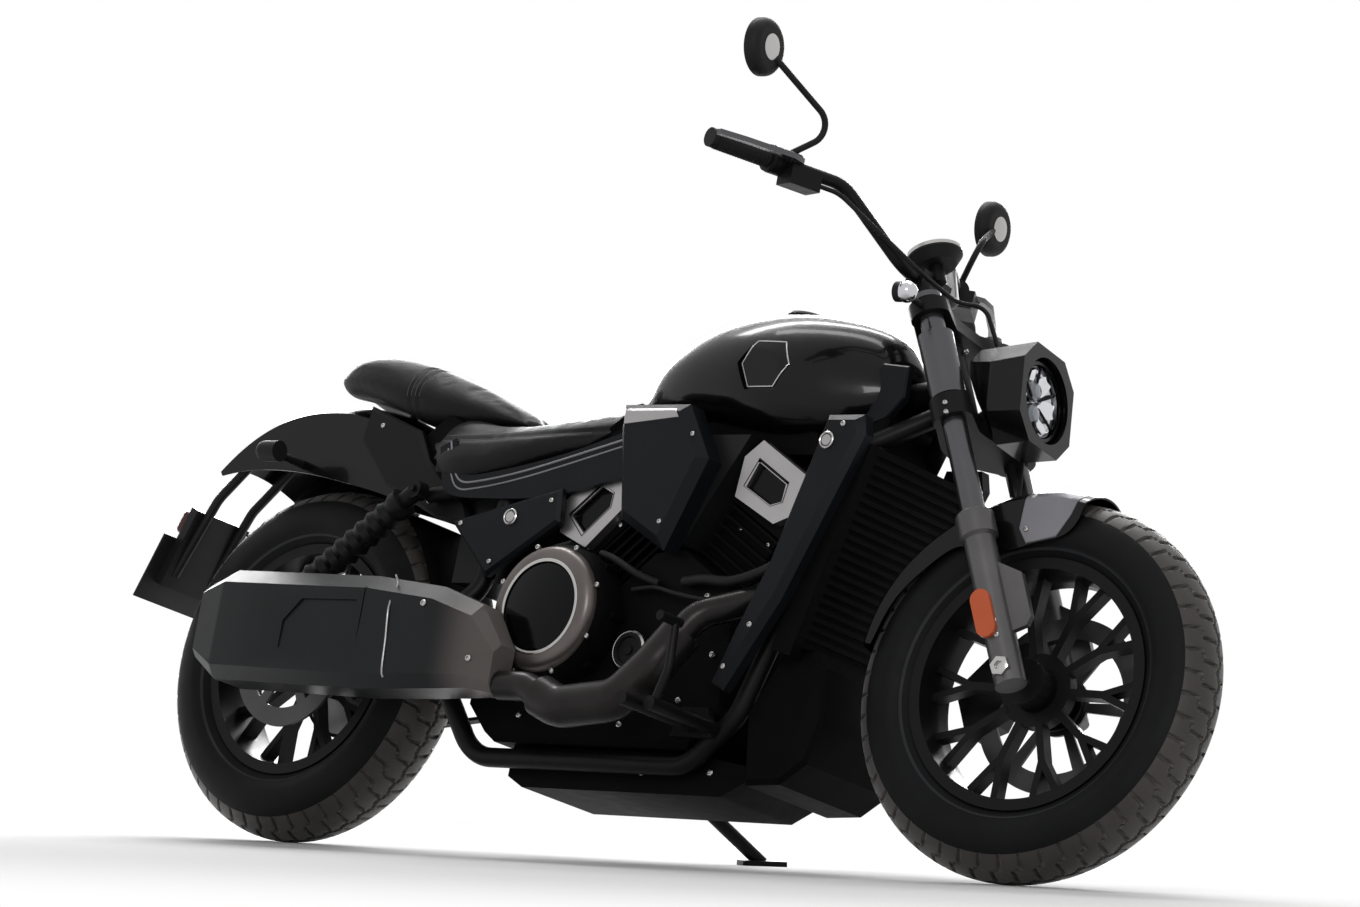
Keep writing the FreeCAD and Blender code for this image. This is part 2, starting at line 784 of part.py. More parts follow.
def fork_legs():
    """Stanchions with their shrouds, and the sliders that run on them."""
    tubes = Body("fork_tubes")
    bare, cap_low = "fork_tube_radius", "fork_top - fork_cap_radius * 0.4"
    outline = [
        ("0", "dust_cap_top"), (bare, "dust_cap_top"), (bare, "shroud_low"), ("shroud_radius", "shroud_low"),
        ("shroud_radius", "shroud_high"), (bare, "shroud_high"), (bare, cap_low),
        ("fork_cap_radius", cap_low), ("fork_cap_radius", "fork_top"), ("0", "fork_top"),
    ]
    leg = tubes.turn(tubes.sketch("XZ_Plane", outline, lift="-fork_half"), "V_Axis")
    tubes.mirror([leg])
    keep(tubes, "steering", front_axle_at, fork_turn)

    sliders = Body("fork_sliders")
    profile = [
        ("0", "slider_foot"), ("slider_radius", "slider_foot"), ("slider_radius", "slider_top - overrun"),
        ("dust_cap_radius", "slider_top"), ("dust_cap_radius", "dust_cap_top - overrun"),
        ("dust_cap_radius - overrun", "dust_cap_top"), ("0", "dust_cap_top"),
    ]
    leg = sliders.turn(sliders.sketch("XZ_Plane", profile, lift="-fork_half"), "V_Axis")
    bracket = [
        ("0", "bracket_low"), ("bracket_reach * 0.82", "bracket_low"),
        ("bracket_reach", "bracket_low + bracket_thick"), ("bracket_reach",
                                                           "bracket_high - bracket_thick * 3"),
        ("slider_radius * 0.9", "bracket_high"), ("0", "bracket_high"),
    ]
    plate = sliders.pad(
        sliders.sketch("XZ_Plane", bracket, lift="-fork_half - bracket_thick / 2"), "bracket_thick")
    boss = sliders.sketch("XZ_Plane", circles=[("0", "fender_boss_height", "fender_boss_radius")],
                          lift="-fork_half")
    foot = sliders.pad(boss, "fork_half - front_fender_half - seat_gap")
    axle_hole = sliders.sketch("XZ_Plane", circles=[("0", "0", "axle_radius + seat_gap")],
                               lift="-fork_half - 2 * slider_radius")
    cut = sliders.pocket(axle_hole, "4 * slider_radius", reverse=True)
    sliders.mirror([leg, plate, foot, cut])
    keep(sliders, "steering", front_axle_at, fork_turn)

    reflectors = Body("fork_reflectors")
    round_end, straight = "reflector_width / 2", "(reflector_length - reflector_width) / 2"
    back = "-slider_radius * 0.3"
    oval = [
        (f"{back} - {round_end}", f"reflector_height - {straight}"),
        (back, f"reflector_height - {straight} - {round_end}", "via"),
        (f"{back} + {round_end}", f"reflector_height - {straight}"),
        (f"{back} + {round_end}", f"reflector_height + {straight}"),
        (back, f"reflector_height + {straight} + {round_end}", "via"),
        (f"{back} - {round_end}", f"reflector_height + {straight}"),
    ]
    lens = reflectors.pad(
        reflectors.sketch("XZ_Plane", oval, lift="-fork_half - slider_radius - reflector_thick - seat_gap"),
        "reflector_thick")
    reflectors.mirror([lens])
    keep(reflectors, "steering", front_axle_at, fork_turn)

    axle = Body("front_axle")
    rod_end = axle.sketch("XZ_Plane", circles=[("0", "0", "axle_radius")])
    axle.pad(rod_end, "2 * front_axle_half", midplane=True)
    keep(axle, "steering", front_axle_at)


def fender_section(centre, angle, low, shoulder, crown, half):
    """One cut through a fender: two skirts, a crown between them, the same wall all round."""
    out = Vector(math.cos(math.radians(angle)), 0, math.sin(math.radians(angle)))
    wall = size.fender_thick

    def spot(radius, side):
        return centre + out * radius + Vector(0, side, 0)

    inner = half - wall
    return Part.Wire([
        Part.LineSegment(spot(low, -half), spot(shoulder, -half)).toShape(),
        Part.Arc(spot(shoulder, -half), spot(crown, 0), spot(shoulder, half)).toShape(),
        Part.LineSegment(spot(shoulder, half), spot(low, half)).toShape(),
        Part.LineSegment(spot(low, half), spot(low, inner)).toShape(),
        Part.LineSegment(spot(low, inner), spot(shoulder, inner)).toShape(),
        Part.Arc(spot(shoulder, inner), spot(crown - wall, 0), spot(shoulder, -inner)).toShape(),
        Part.LineSegment(spot(shoulder, -inner), spot(low, -inner)).toShape(),
        Part.LineSegment(spot(low, -inner), spot(low, -half)).toShape(),
    ])


def fender(label, group, centre, stations, crown, half, drop):
    """A thin shell round a tyre, its skirts and crown following the stations."""
    cuts = [fender_section(centre, angle, crown * low, crown * top - drop, crown * top, half)
            for angle, low, top in stations]
    keep(solid(label, [loft(cuts)]), group)


def handlebar():
    """One bent tube, level on its clamp, up and back to the grips."""
    half = [
        Vector(size.bar_centre_x, size.bar_flat_half, size.bar_centre_z),
        Vector(size.bar_bend_x, size.bar_bend_y, size.bar_bend_z),
        Vector(size.bar_end_x, size.bar_end_y, size.bar_end_z),
    ]
    other = [Vector(spot.x, -spot.y, spot.z) for spot in reversed(half)]
    keep(solid("handlebar", [tube(other + half, size.bar_radius, size.bar_turn_radius)]), "steering")
    return half


def along_bar(half, back, side=1):
    """The point that far in from the end of the bar, and the way outward there."""
    way = (half[2] - half[1]).normalize()
    spot = half[2] - way * back
    return Vector(spot.x, side * spot.y, spot.z), Vector(way.x, side * way.y, way.z)


def bar_turn(way):
    """A frame whose Z runs outward along the bar and whose X points ahead."""
    ahead = Vector(1, 0, 0)
    third = way.cross(ahead).normalize()
    return Rotation(third.cross(way), third, way, "ZXY")


def bar_controls(half):
    """Grips, control housings with the brake reservoir, and the two hand levers."""
    gap = size.seat_gap
    grips, housings, levers = [], [], []
    for side in (-1, 1):
        tip, way = along_bar(half, -gap * 2, side)
        start, _ = along_bar(half, size.grip_length, side)
        grip = rod(start, tip + way * size.fender_thick, size.grip_radius)
        flange = rod(start, start + way * size.grip_flange_thick, size.grip_flange_radius)
        bore = rod(start - way * size.overrun, tip, size.bar_radius + gap)
        grips.append(fused([grip, flange]).cut(bore))
        inner, _ = along_bar(half, size.grip_length + size.housing_length + gap, side)
        shell = rod(inner, inner + way * size.housing_length, size.housing_radius)
        turn = bar_turn(way)
        frame = Placement(inner + way * (size.housing_length / 2), turn)
        tank = Part.makeBox(size.reservoir_width, size.reservoir_height, size.reservoir_length)
        tank.translate(Vector(0, size.bar_radius * 0.5, -size.reservoir_length * 0.9))
        tank.Placement = frame.multiply(tank.Placement)
        if side < 0:
            tank = tank.mirror(frame.Base, turn.multVec(Vector(0, 1, 0)))
        shell = fused([shell, tank]).cut(
            rod(inner - way * size.reservoir_length, inner + way * 2 * size.housing_length,
                size.bar_radius + gap))
        housings.append(shell)
        levers.append(hand_lever(frame, side))
    keep(solid("hand_grips", grips), "steering")
    stems = [mirror_stem(half, side, size.mirror_stem_radius + gap)[0] for side in (-1, 1)]
    keep(solid("bar_housings", [shell.cut(stem) for shell, stem in zip(housings, stems)]), "steering")
    keep(solid("hand_levers", levers), "steering")


def hand_lever(frame, side):
    """A flat blade from its perch ahead of the housing, sweeping outward before the grip."""
    reach, length, wide = size.lever_reach, size.lever_length, size.lever_width
    root = size.housing_radius + size.seat_gap
    low = -size.lever_thick / 2
    outline = [
        Vector(root, low, -wide), Vector(reach * 0.8, low, -wide * 0.6), Vector(reach, low, wide * 1.4),
        Vector(reach * 0.92, low, length * 0.7), Vector(reach * 0.8, low, length), Vector(reach * 0.62, low,
                                                                                          length),
        Vector(reach * 0.72, low, length * 0.7), Vector(reach * 0.76, low, wide * 1.8), Vector(root, low,
                                                                                               wide * 0.8),
    ]
    blade = Part.Face(wire(outline)).extrude(Vector(0, size.lever_thick, 0))
    blade.Placement = frame.multiply(blade.Placement)
    return blade


def mirror_stem(half, side, radius):
    """A mirror's bent stem, from inside its housing to the back of its head."""
    foot, _ = along_bar(half, size.grip_length + size.housing_length * 0.6, side)
    base = foot + Vector(0, 0, size.bar_radius + size.overrun)
    knee = Vector(size.mirror_knee_x, side * size.mirror_knee_y, size.mirror_knee_z)
    head = Vector(size.mirror_head_x, side * size.mirror_head_y, size.mirror_head_z)
    return tube([base, knee, head - Vector(size.mirror_depth / 2, 0, 0)], radius, size.bar_turn_radius), head


def mirrors(half):
    """Bent stems off the control housings, each with a round head."""
    shapes = []
    for side in (-1, 1):
        stem, head = mirror_stem(half, side, size.mirror_stem_radius)
        shell = Part.makeCylinder(size.mirror_radius, size.mirror_depth,
                                  head - Vector(size.mirror_depth, 0, 0),
                                  Vector(1, 0, 0))
        rims = [edge for edge in shell.Edges if edge.BoundBox.XLength < size.overrun]
        front = max(rims, key=lambda edge: edge.BoundBox.XMax)
        shapes.append(stem.fuse(shell.makeFillet(size.mirror_depth * 0.7, [front])))
    keep(solid("mirrors", shapes), "steering")


def instrument():
    """A round dial, tipped toward the rider, on a bracket over the bar clamp."""
    piece = Body("instrument")
    outline = [
        ("0", "-dial_depth"), ("dial_radius * 0.72", "-dial_depth"), ("dial_radius", "-dial_depth * 0.35"),
        ("dial_radius", "0"), ("dial_radius * 0.9", "0"), ("dial_radius * 0.88", "-dial_depth * 0.12"),
        ("0", "-dial_depth * 0.12"),
    ]
    piece.turn(piece.sketch("XZ_Plane", outline), "V_Axis")
    keep(piece, "steering", Vector(size.dial_x, 0, size.dial_z), Rotation(Vector(0, 1, 0), -size.dial_tilt))


def risers():
    """Two posts from the upper yoke to the clamp block round the bar, and the dial's post above it."""
    top = Vector(size.bar_centre_x, 0, size.bar_centre_z)
    reach, deep = size.bar_flat_half * 0.34, size.bar_radius * 1.5
    yoke_top = size.clamp_high + size.upper_clamp_thick
    shapes = [block(top + Vector(-deep, -reach - size.riser_radius, -deep),
                    top + Vector(deep, reach + size.riser_radius, deep))]
    for side in (-1, 1):
        across = Vector(0, side * reach, 0)
        foot = on_fork(-size.fork_offset, 0, yoke_top - size.overrun) + across
        shapes.append(rod(foot, top + across, size.riser_radius))
    tilt = math.radians(size.dial_tilt)
    dial_up = Vector(-math.sin(tilt), 0, math.cos(tilt))
    seat = Vector(size.dial_x, 0, size.dial_z) - dial_up * (size.dial_depth + size.seat_gap)
    shapes.append(rod(seat - dial_up * size.dial_depth * 1.2, seat, size.riser_radius * 0.7))
    below = Part.makeBox(size.fork_half, size.fork_half * 2, size.fork_half)
    below.translate(Vector(-size.fork_half, -size.fork_half, yoke_top + size.seat_gap - size.fork_half))
    below.Placement = Placement(front_axle_at, fork_turn).multiply(below.Placement)
    hole = rod(top - Vector(0, size.bar_flat_half, 0), top + Vector(0, size.bar_flat_half, 0),
               size.bar_radius + size.seat_gap)
    keep(solid("bar_risers", [fused(shapes).cut(below).cut(hole)]), "steering")


def octagon(centre, ahead, half, high, cut_share):
    """An eight-sided outline square to the way ahead."""
    left, up = Vector(0, 1, 0), ahead.cross(Vector(0, 1, 0))
    cut = half * cut_share
    corners = [(half, high - cut), (half - cut, high), (cut - half, high), (-half, high - cut),
               (-half, cut - high), (cut - half, -high), (half - cut, -high), (half, cut - high)]
    return wire([centre + left * across + up * rise for across, rise in corners])


def headlight():
    """A cowl of eight faces, with a round ring and domed lens set in its front."""
    tip = math.radians(size.lamp_tip)
    ahead = Vector(math.cos(tip), 0, math.sin(tip))
    face = Vector(size.lamp_x, 0, size.lamp_z)
    front = face + ahead * size.cowl_lip
    back = face - ahead * size.cowl_length + Vector(0, 0, size.cowl_back_rise)
    big, small = size.cowl_front_half, size.cowl_back_half
    middle = face - ahead * size.cowl_length * 0.45
    shell = loft([octagon(front, ahead, big, big, 0.45), octagon(middle, ahead, big, big, 0.5)], True).fuse(
        loft([octagon(middle, ahead, big, big, 0.5), octagon(back, ahead, small, small * 0.66, 0.5)], True))
    depth = size.lamp_ring_depth
    seat = Part.makeCylinder(size.lamp_ring_radius + size.seat_gap, depth + size.cowl_lip * 2,
                             face - ahead * (depth + size.seat_gap), ahead)
    keep(solid("headlight_cowl", [shell.cut(seat).removeSplitter()]), "steering")
    turn = Rotation(Vector(0, 1, 0), 90 - size.lamp_tip)
    ring = Body("headlight_ring")
    outline = [
        ("lamp_lens_radius + seat_gap", "-lamp_ring_depth"), ("lamp_ring_radius", "-lamp_ring_depth"),
        ("lamp_ring_radius", "0"), ("lamp_ring_radius - overrun", "overrun"),
        ("lamp_lens_radius + seat_gap", "overrun"),
    ]
    ring.turn(ring.sketch("XZ_Plane", outline), "V_Axis")
    keep(ring, "steering", face, turn)
    lens = Body("headlight_lens")
    dome = [
        ("0", "-lamp_ring_depth"), ("lamp_lens_radius", "-lamp_ring_depth"), ("lamp_lens_radius", "0"),
        ("lamp_lens_radius * 0.72", "lamp_dome * 0.62", "via"), ("lamp_lens_radius * 0.08", "lamp_dome"),
        ("0", "lamp_dome"),
    ]
    lens.turn(lens.sketch("XZ_Plane", dome), "V_Axis")
    keep(lens, "steering", face, turn)


def lamp_pod(centre, ahead, radius, length, stalk_root, stalk_radius):
    """A small round lamp, blunt behind and domed in front, on a stalk."""
    body = Part.makeCylinder(radius, length * 0.6, centre - ahead * length * 0.4, ahead)
    nose = Part.makeSphere(radius, centre + ahead * length * 0.2, ahead, 0, 90, 360)
    return fused([body, nose, rod(stalk_root, centre, stalk_radius)])


def brake_hose(half):
    """The hose from the reservoir, behind the risers and down the left leg to the caliper."""
    inner, way = along_bar(half, size.grip_length + size.housing_length + size.seat_gap, -1)
    thick = size.hose_radius
    start = inner - way * (size.reservoir_length * 0.9 - size.housing_length / 2 + size.seat_gap)
    up = size.bar_radius * 0.5 + size.reservoir_height / 2
    start = start + bar_turn(way).multVec(Vector(size.reservoir_width / 2, -up, 0))
    bar_front = size.bar_centre_x + size.bar_radius * 3.4
    ahead, inboard = size.slider_radius + thick, size.fork_half - size.clamp_eye_radius + thick
    beside = size.fork_half - size.overrun - 2 * thick
    down = [on_fork(*place) for place in (
        (ahead, size.bar_flat_half * 0.68, size.fork_top + size.clamp_thick),
        (ahead, inboard, size.clamp_high - size.upper_clamp_thick),
        (ahead, inboard, size.clamp_low),
        (0, size.fork_half - size.fork_tube_radius - 2 * thick, (size.dust_cap_top + size.clamp_low) / 2),
        (-size.clamp_eye_radius - 2 * thick, beside, size.dust_cap_top),
        (-size.bracket_reach, beside, size.bracket_high),
        (-size.bracket_reach, beside, size.bracket_low * 2 + size.seat_gap))]
    route = [
        start, start - way * size.housing_length,
        Vector(bar_front, -size.bar_flat_half, size.bar_centre_z - thick * 2),
        Vector(bar_front, size.bar_flat_half * 0.5, size.bar_centre_z - thick * 3),
    ] + down
    keep(solid("brake_hose", [tube(route, thick, size.hose_turn_radius)]), "steering")


def front_signals():
    shapes = []
    for side in (-1, 1):
        root = on_fork(0, side * (size.fork_half + size.clamp_eye_radius + size.seat_gap),
                       size.clamp_high + size.upper_clamp_thick / 2)
        tip = Vector(root.x, side * size.front_signal_half, root.z)
        shapes.append(lamp_pod(tip, Vector(1, 0, 0), size.front_signal_radius, size.front_signal_length,
                               root, size.mirror_stem_radius))
    keep(solid("front_signals", shapes), "steering")


def front_caliper():
    """A caliper behind the left leg, slotted over the disc, on a lug to the slider."""
    piece = Body("front_caliper")
    reach, edge = "front_disc_radius - disc_band", "front_disc_radius + running_gap + bracket_thick"
    outline = [
        (f"-({reach})", "bracket_low * 0.2"), (f"-({edge})", "bracket_low * 0.2"),
        (f"-({edge})", "bracket_low * 1.5"), (f"-({reach}) * 0.86", "bracket_low * 2.0"),
        ("-slider_radius - seat_gap", "bracket_low * 2.0"), ("-slider_radius - seat_gap",
                                                             "bracket_low * 1.0"),
        (f"-({reach}) * 0.8", "bracket_low * 0.6"),
    ]
    piece.pad(piece.sketch("XZ_Plane", outline, lift="-fork_half - overrun"),
              "fork_half - disc_plane + 4 * overrun")
    slot = piece.sketch("XZ_Plane", circles=[("0", "0", "front_disc_radius + running_gap")],
                        lift="-disc_plane - disc_thick / 2 - running_gap")
    piece.pocket(slot, "disc_thick + 2 * running_gap", reverse=True)
    keep(piece, "steering", front_axle_at, fork_turn)


def steering():
    fork_clamps()
    fork_legs()
    fender("front_fender", "steering", front_axle_at, FRONT_FENDER_SHARES, size.front_crown_radius,
           size.front_fender_half, size.front_shoulder_drop)
    half = handlebar()
    bar_controls(half)
    mirrors(half)
    instrument()
    risers()
    headlight()
    front_signals()
    front_caliper()
    brake_hose(half)


def park():
    """Lean the machine onto its stand, with both tyres down on the ground."""
    lean = Rotation(Vector(1, 0, 0), -size.lean_angle)
    steer = Placement(Vector(), Rotation(fork_up, size.steer_angle), steer_foot)
    pitch, lift = 0.0, 0.0
    for _ in range(12):
        stance = Placement(Vector(0, 0, lift), Rotation(Vector(0, 1, 0), -pitch).multiply(lean))
        lows = []
        for place, radius, width, frame in (
            (rear_axle_at, size.rear_tyre_radius, size.rear_tyre_width, stance),
            (front_axle_at, size.front_tyre_radius, size.front_tyre_width, stance.multiply(steer)),
        ):
            axle = frame.Rotation.multVec(Vector(0, 1, 0))
            crown = width / 2
            centre = frame.multVec(place)
            lows.append(centre.z - (radius - crown) * math.sqrt(1 - axle.z ** 2) - crown)
        lift -= lows[0]
        pitch -= math.degrees((lows[1] - lows[0]) / size.wheelbase)
    return stance, steer


def settle():
    """Give every piece its place, and put the origin under the middle of the whole."""
    stance, steer = park()
    for thing, group, place in pieces:
        frames = {"ground": Placement(), "steering": stance.multiply(steer),
                  "front_wheel": stance.multiply(steer)}
        thing.Placement = frames.get(group, stance).multiply(place)
    doc.recompute()
    box = FreeCAD.BoundBox()
    for thing, _, _ in pieces:
        box.add(thing.Shape.optimalBoundingBox())
    shift = Vector(-box.Center.x, -box.Center.y, 0)
    for thing, _, _ in pieces:
        thing.Placement = Placement(thing.Placement.Base + shift, thing.Placement.Rotation)
    doc.recompute()
    return stance, steer, shift


def check():
    """Stop if any piece failed, is empty or is not sound."""
    for item in doc.Objects:
        if "Invalid" in item.State or "Error" in item.State:
            raise RuntimeError(f"{item.Label} failed: {item.State}")
    for thing, _, _ in pieces:
        if thing.Shape.isNull() or not thing.Shape.isValid() or not thing.Shape.Solids:
            raise RuntimeError(f"{thing.Label} is not sound")


def export():
    os.makedirs("parts", exist_ok=True)
    for thing, _, _ in pieces:
        thing.Shape.exportStep(f"parts/{thing.Label}.step")


def tank():
    """The teardrop tank: one skin over eight cuts, hollowed below for the backbone, and its filler cap."""
    low, high = size.tank_low, size.tank_top - size.tank_low
    cuts = []
    for along, top, bottom, wide in TANK_SHARES:
        across = size.tank_half * wide
        base, peak = low + high * bottom, low + high * top
        rise = peak - base
        half = [
            (0, peak), (across * 0.42, peak - rise * 0.06), (across * 0.80, peak - rise * 0.26),
            (across, peak - rise * 0.58), (across * 0.90, base + rise * 0.12), (across * 0.60, base), (0,
                                                                                                       base),
        ]
        ring = half + [(-side, rise_at) for side, rise_at in reversed(half[1:-1])]
        place = size.tank_back + (size.tank_front_x - size.tank_back) * along
        curve = Part.BSplineCurve()
        curve.interpolate([Vector(place, side, up) for side, up in ring], PeriodicFlag=True)
        cuts.append(Part.Wire([curve.toShape()]))
    skin = loft(cuts)
    slot = side_plate([
        (size.tank_back - size.overrun, low - size.overrun), (size.tank_front_x + size.overrun,
                                                              low - size.overrun),
        (size.tank_front_x + size.overrun, backbone_at(size.tank_front_x) + size.backbone_radius * 1.6),
        (size.tank_back - size.overrun, backbone_at(size.tank_back) + size.backbone_radius * 1.6),
    ], -size.backbone_radius * 1.4, size.backbone_radius * 1.4)
    well = Part.makeCylinder(size.cap_radius + size.seat_gap, size.cap_height * 2,
                             Vector(size.cap_x, 0, size.tank_top - size.cap_sink))
    skin = skin.cut(slot).cut(well)
    emblem = in_box_now("emblem", EMBLEM_SHARES)
    for side in (-1, 1):
        skin = skin.cut(side_plate(emblem, side * size.emblem_inner, side * (size.tank_half + size.overrun)))
    keep(solid("fuel_tank", [skin]))
    cap = Body("fuel_cap")
    outline = [
        ("0", "0"), ("cap_radius", "0"), ("cap_radius", "cap_height * 0.7"),
        ("cap_radius * 0.9", "cap_height"), ("0", "cap_height"),
    ]
    cap.turn(cap.sketch("XZ_Plane", outline), "V_Axis")
    keep(cap, "chassis", Vector(size.cap_x, 0, size.tank_top - size.cap_sink + size.seat_gap))


def backbone_at(place):
    """The height of the backbone's centre line that far forward."""
    head = on_fork(-size.fork_offset, 0, (size.clamp_low + size.clamp_thick + size.clamp_high) / 2)
    share = (place - size.tank_back) / (head.x - size.tank_back)
    return size.backbone_back_z + (head.z - size.backbone_back_z) * share


def frame():
    """Head tube, backbone, and the cradle that carries the engine."""
    gap = size.seat_gap
    low = on_fork(-size.fork_offset, 0, size.clamp_low + size.clamp_thick + size.overrun)
    high = on_fork(-size.fork_offset, 0, size.clamp_high - size.overrun)
    head = rod(low, high, size.head_tube_radius)
    bore = rod(low - fork_up * size.overrun, high + fork_up * size.overrun, size.stem_radius + gap)
    middle = (low + high) * 0.5
    tail = Vector(size.tank_back, 0, size.backbone_back_z)
    spine = rod(middle, tail, size.backbone_radius)
    keep(solid("frame_backbone", [fused([head, spine]).cut(bore)]))
    near = [rod(low, high, size.head_tube_radius + gap), rod(middle, tail, size.backbone_radius + gap)]
    shapes = []
    for side in (-1, 1):
        half = side * size.cradle_half
        way = [
            low + fork_up * size.tube_radius * 1.2 + Vector(-size.head_tube_radius * 0.8,
                                                            side * size.tube_radius, 0),
            Vector(size.down_top_x, half * 0.75, size.down_top_z),
            Vector(size.down_foot_x, half, size.cradle_low + size.down_rise),
            Vector(size.down_foot_x - size.down_rise, half, size.cradle_low),
            Vector(size.pivot_x + size.down_rise, half, size.cradle_low),
            Vector(size.pivot_x, side * size.pivot_half, size.pivot_z - size.tube_radius * 2),
            Vector(size.pivot_x, side * size.pivot_half, size.pivot_z + size.tube_radius * 2.2),
            Vector(size.pivot_x * 0.4 + size.upright_top_x * 0.6, side * size.upright_half,
                   size.pivot_z + size.rail_drop),
            Vector(size.upright_top_x, side * size.upright_half, rail_knee().z),
        ]
        shapes.append(tube(way, size.tube_radius, size.pipe_turn_radius))
    cross = rod(Vector(size.pivot_x, -size.pivot_half, size.pivot_z),
                Vector(size.pivot_x, size.pivot_half, size.pivot_z), size.tube_radius)
    cradle = fused(shapes + [cross] + [stand_bracket()])
    for tool in near + [rail(side, size.rail_radius + gap) for side in (-1, 1)]:
        cradle = cradle.cut(tool)
    keep(solid("frame_cradle", [cradle]))
    rails = [rail(side, size.rail_radius).cut(near[1]) for side in (-1, 1)]
    keep(solid("seat_rails", rails))


def rail_knee():
    """Where the seat rails pass over the cradle's uprights, on the middle plane."""
    return Vector(size.upright_top_x, 0, size.backbone_back_z - size.rail_drop * 1.1)


def rail(side, radius):
    """One seat rail: from the backbone's tail, out over the upright, back to the shock's upper end."""
    knee = rail_knee()
    end = rail_end()
    return tube([
        Vector(size.tank_back + size.rail_lean * 0.4, side * (size.backbone_radius + size.seat_gap),
               size.backbone_back_z),
        Vector(size.tank_back - size.rail_lean * 1.4, side * size.upright_half * 0.85,
               knee.z + size.rail_lean * 0.7),
        knee + Vector(0, side * end, 0),
        Vector(size.shock_top_x, side * end, size.shock_top_z),
    ], radius, size.pipe_turn_radius)


def rail_end():
    """How far off the middle plane the seat rails run, just outside the tail covers."""
    return size.rear_fender_half + size.tail_thick + 3 * size.seat_gap + size.rail_radius


def stand_frame():
    """The side stand's pivot: origin on the bolt, Z along it."""
    pivot = Vector(size.stand_pivot_x, size.stand_pivot_y, size.stand_pivot_z)
    return Placement(pivot, Rotation(Vector(1, 0, 0), -size.stand_tip))


def stand_bracket():
    """The plate and bolt that carry the side stand, welded to the left cradle tube."""
    half = size.stand_leg_radius * 1.1
    reach = (size.stand_pivot_y - size.cradle_half) / math.cos(math.radians(size.stand_tip))
    wide = size.stand_leg_radius * 1.5
    plate = block(Vector(-wide, -reach, -half - size.pin_gap - size.bracket_thick * 0.7),
                  Vector(wide, wide, -half - size.pin_gap))
    bolt = Part.makeCylinder(size.axle_radius, 2.4 * half, Vector(0, 0, -half - size.pin_gap * 2))
    shape = fused([plate, bolt])
    shape.Placement = stand_frame()
    return shape


def swingarm():
    """Two box arms from the pivot tube to the rear axle, joined ahead of the tyre."""
    piece = Body("swingarm")
    deep, front = "arm_depth / 2", "pivot_x - 2 * tube_radius"
    outline = [
        ("-arm_depth * 0.9", f"rear_tyre_radius - {deep} * 0.8"), (front, f"pivot_z - {deep}"),
        ("pivot_x", f"pivot_z - {deep}"), (f"pivot_x + {deep}", "pivot_z", "via"), ("pivot_x",
                                                                                    f"pivot_z + {deep}"),
        (front, f"pivot_z + {deep}"), ("-arm_depth * 0.9", f"rear_tyre_radius + {deep} * 0.8"),
    ]
    hole = [("0", "rear_tyre_radius", "axle_radius + seat_gap"),
            ("pivot_x", "pivot_z", "tube_radius + seat_gap")]
    arm = piece.pad(piece.sketch("XZ_Plane", outline, hole, lift="-arm_outer"), "arm_outer - arm_inner")
    bridge = [
        ("rear_tyre_radius + bridge_gap",
         f"pivot_z - {deep} * 0.8"), ("rear_tyre_radius + bridge_gap + arm_depth", f"pivot_z - {deep} * 0.8"),
        ("rear_tyre_radius + bridge_gap + arm_depth",
         f"pivot_z + {deep} * 0.8"), ("rear_tyre_radius + bridge_gap", f"pivot_z + {deep} * 0.8"),
    ]
    cross = piece.pad(piece.sketch("XZ_Plane", bridge, lift="-arm_inner - seat_gap"),
                      "arm_inner + 2 * seat_gap")
    piece.mirror([arm, cross])
    keep(piece)
    axle = Body("rear_axle")
    axle.pad(axle.sketch("XZ_Plane", circles=[("0", "0", "axle_radius")]), "2 * rear_axle_half",
             midplane=True)
    keep(axle, "chassis", rear_axle_at)


def shocks():
    """Coil-over shocks: damper, ribbed spring and an eye at each end, one a side."""
    low = Vector(size.shock_low_x, 0, size.shock_low_z)
    top = Vector(size.shock_top_x, 0, size.shock_top_z)
    way = top - low
    length = way.Length
    turn = Rotation(Vector(0, 0, 1), way)
    shapes = []
    eye, spring, damper = size.shock_eye_radius, size.spring_radius, size.damper_radius
    body_low, body_high = length * 0.2, length * 0.86
    for side in (-1, 1):
        across = Vector(0, side * size.shock_half, 0)
        core = rod(low + across, top + across, damper)
        bodies = [core]
        for end in (low, top):
            bodies.append(Part.makeCylinder(eye, 2 * size.shock_eye_half,
                                            end + across - Vector(0, size.shock_eye_half, 0), Vector(0, 1,
                                                                                                     0)))
        ribs = int(size.spring_turns)
        step = (body_high - body_low) / ribs
        points = [Vector(0, 0, body_low - damper * 0.6), Vector(spring, 0, body_low - damper * 0.6)]
        for rib in range(ribs):
            foot = body_low + rib * step
            points += [Vector(spring, 0, foot), Vector(spring * 0.8, 0, foot + step * 0.5)]
        points += [Vector(spring, 0, body_high), Vector(spring, 0, body_high + damper),
                   Vector(0, 0, body_high + damper)]
        coil = Part.Face(wire(points)).revolve(Vector(), Vector(0, 0, 1), 360)
        coil.Placement = Placement(low + across, turn)
        bodies.append(coil)
        for end, inner in ((low, size.arm_outer), (top, rail_end() + size.rail_radius)):
            start = end + Vector(0, side * (inner + size.seat_gap), 0)
            bodies.append(rod(start, end + across * (1 + size.shock_eye_half / size.shock_half * 1.5),
                              size.bar_radius * 0.6))
        shapes.append(fused(bodies))
    keep(solid("rear_shocks", shapes))


